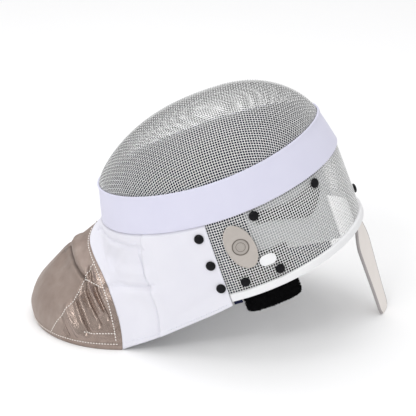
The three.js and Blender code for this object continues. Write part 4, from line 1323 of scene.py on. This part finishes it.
def on_strap(side, across, w, depth):
    """A place on a strap end: across from -1 to 1 of its width, and a depth under its face."""
    across, w, depth = np.broadcast_arrays(across, w, depth)
    u = (STRAP["from_u"] + STRAP["to_u"]) / 2 + across * strap_half_width(w)
    crown, chin, _ = reaches(w, 0)
    cosine = signed_power(u / np.where(u > 0, crown, chin), RING["roundness"] / 2)
    return on_wall(side * np.degrees(np.arccos(cosine)), w, STRAP["inset"] + depth)


def make_strap(name, side, material, scatter_with, random):
    bottom, top = STRAP["bottom_w"], STRAP["top_w"]
    corner = bottom + STRAP["corner"] * (1 - np.cos(np.linspace(0, math.pi / 2, 8)))
    levels = np.concatenate([corner, np.linspace(corner[-1], top, 26)[1:]])
    rings = []
    for w in levels:
        half = float(strap_half_width(w))
        thickness = STRAP["thickness"] - 2 * STRAP_BAND["pile"]
        wide, deep = strip_section(2 * half, thickness, STRAP_BAND["corner"], 14)
        rings.append(on_strap(side, wide / half - 1, w, deep + STRAP_BAND["pile"]))
    strap = loft(f"strap_{name}_band", rings, material)
    fit(strap, "black_pile", f"strap_{name}")
    wide, tall = (STRAP["to_u"] - STRAP["from_u"]) * MM, (top - bottom) * MM
    hang(strap, (wide * STRAP_EASE, tall * STRAP_EASE))
    # Cut pile stands over both faces and out of the side and lower edges.
    count, thick = PILE["count"], STRAP["thickness"]
    across, w = random.uniform(-1, 1, count), random.uniform(bottom, top, count)
    edge = random.random(count)
    on_side, on_foot = edge < PILE["on_sides"], edge > 1 - PILE["on_foot"]
    across = np.where(on_side, np.sign(across), across)
    w = np.where(on_foot, bottom + STRAP["corner"] * (1 - np.sqrt(1 - across ** 8)), w)
    w = np.clip(w, bottom + 0.05, top)
    faced = random.choice([PILE["face"], thick - PILE["face"]], count)
    depth = np.where(on_side | on_foot, random.uniform(PILE["edge"], thick - PILE["edge"], count), faced)
    places = on_strap(side, across, w, depth)
    out = unit(on_strap(side, across, w, depth - 0.2) - on_strap(side, across, w, depth + 0.2))
    out = out * np.where(depth > thick / 2, -1, 1)[:, None]
    sideways = unit(on_strap(side, 1.0, w, 2.0) - on_strap(side, -1.0, w, 2.0)) * np.sign(across)[:, None]
    below = np.repeat(mask_direction(0, 0, -1)[None], count, 0)
    away = np.where(on_side[:, None], sideways, np.where(on_foot[:, None], below, out))
    lean = unit(away + random.normal(0, PILE["lean"], (count, 3)))
    tuft = turned("tuft", TUFT, 5, None)
    pile = scatter(f"strap_{name}_pile", places, lean, below, tuft, material, scatter_with,
                   sizes=random.uniform(0.6, 1.1, count))
    fit(pile, "black_pile")


# ---- studio ----
CAMERA = {"elevation": 24.35, "aim": (-0.00295, 0, 0.1381), "distance": 1.4, "view": 19.9683}
# Soft round lights: name, place, size across in metres and power in watts.
LIGHTS = (
    ("key", (-1.3, -1.5, 1.9), 0.8, 7.5), ("top", (-0.2, 0.5, 2.4), 1.8, 15.0),
    ("fill", (1.6, -1.6, 0.9), 1.0, 2.5), ("spark", (-0.75, -1.6, 1.7), 0.3, 4.0),
)
LIT_POINT = (0, 0, 0.12)
SKY = {"from": (-0.35, -0.3, 1), "strength": 0.6, "spread": 100.0, "ambient": 0.62}
FLOOR_REACH = 9.0


def make_camera():
    elevation = math.radians(CAMERA["elevation"])
    away = Vector((0, -math.cos(elevation), math.sin(elevation)))
    data = bpy.data.cameras.new("camera")
    data.angle = math.radians(CAMERA["view"])
    data.clip_end = 50
    camera = bpy.data.objects.new("camera", data)
    camera.location = Vector(CAMERA["aim"]) + away * CAMERA["distance"]
    camera.rotation_euler = away.to_track_quat("Z", "Y").to_euler()
    bpy.context.scene.collection.objects.link(camera)
    bpy.context.scene.camera = camera


def add_light(name, kind, where, towards, **settings):
    data = bpy.data.lights.new(name, kind)
    for setting, value in settings.items():
        setattr(data, setting, value)
    light = bpy.data.objects.new(name, data)
    light.location = where
    light.rotation_euler = (Vector(where) - Vector(towards)).to_track_quat("Z", "Y").to_euler()
    bpy.context.scene.collection.objects.link(light)


def make_studio():
    bpy.context.scene.view_settings.view_transform = "Standard"
    world = bpy.data.worlds.new("studio")
    world.use_nodes = True
    background = world.node_tree.nodes["Background"]
    background.inputs["Color"].default_value = (1.0, 1.0, 1.0, 1)
    background.inputs["Strength"].default_value = SKY["ambient"]
    bpy.context.scene.world = world
    for name, where, size, power in LIGHTS:
        add_light(name, "AREA", where, LIT_POINT, shape="DISK", size=size, energy=power)
    add_light("sky", "SUN", SKY["from"], (0, 0, 0), energy=SKY["strength"],
              angle=math.radians(SKY["spread"]))
    corners = [(x * FLOOR_REACH, y * FLOOR_REACH, 0) for x, y in ((-1, -1), (1, -1), (1, 1), (-1, 1))]
    make_piece("floor", np.array(corners), [(0, 1, 2, 3)], studio_floor())


make_camera()
make_studio()
strand = strand_tree()
scattered = scatter_tree()
navy = lining_cloth()
# Both wire finishes carry painted shade on the head side of each wire; on the face it reaches further round.
make_baskets(wire_enamel_painted_shade("face_wire_enamel", (0.008, 0.088)),
             wire_enamel_painted_shade("side_wire_enamel", (-0.08, 0.0)), strand)
make_band(elastic_band())
make_rim(rim_tape())
foam = speckled("black_foam_cover", (800.0, 3.0), (0.004, 0.004, 0.006), (0.014, 0.014, 0.018), 0.95,
                (0.5, 0.0004), Specular_IOR_Level=0.1)
make_padding(navy, foam, backing_cloth())
make_bib(bib_cloth(), lame_cloth(), navy)
make_stitches(scattered, thread("pale_lame_thread", (0.80, 0.74, 0.69), (0.95, 0.91, 0.87)),
              thread("white_bib_thread", (0.70, 0.70, 0.78), (0.86, 0.86, 0.92)))
make_rivets(speckled("black_gloss_enamel", (260.0, 3.0), (0.003, 0.003, 0.004), (0.010, 0.010, 0.012),
                     (0.26, 0.08), (0.06, 0.0003), Specular_IOR_Level=0.12), scattered)
make_plate(plate_metal())
make_tab(speckled("white_tab_plastic", (140.0, 3.0), (0.84, 0.84, 0.86), (0.92, 0.92, 0.93), 0.35,
                  (0.08, 0.0004)))
# The tongue's piping is coloured grey-brown as painted shade along its edges.
make_tongue(tongue_cover(), thread("tongue_piping_thread", (0.36, 0.33, 0.33), (0.46, 0.43, 0.43)), strand)
pile = speckled("black_strap_pile", (1400.0, 2.0), (0.0012, 0.0012, 0.0014), (0.005, 0.005, 0.0055), 1.0,
                (0.8, 0.0008), Specular_IOR_Level=0.05)
random = np.random.default_rng(SEED)
for name, side in (("left", -1), ("right", 1)):
    make_strap(name, side, pile, scattered, random)
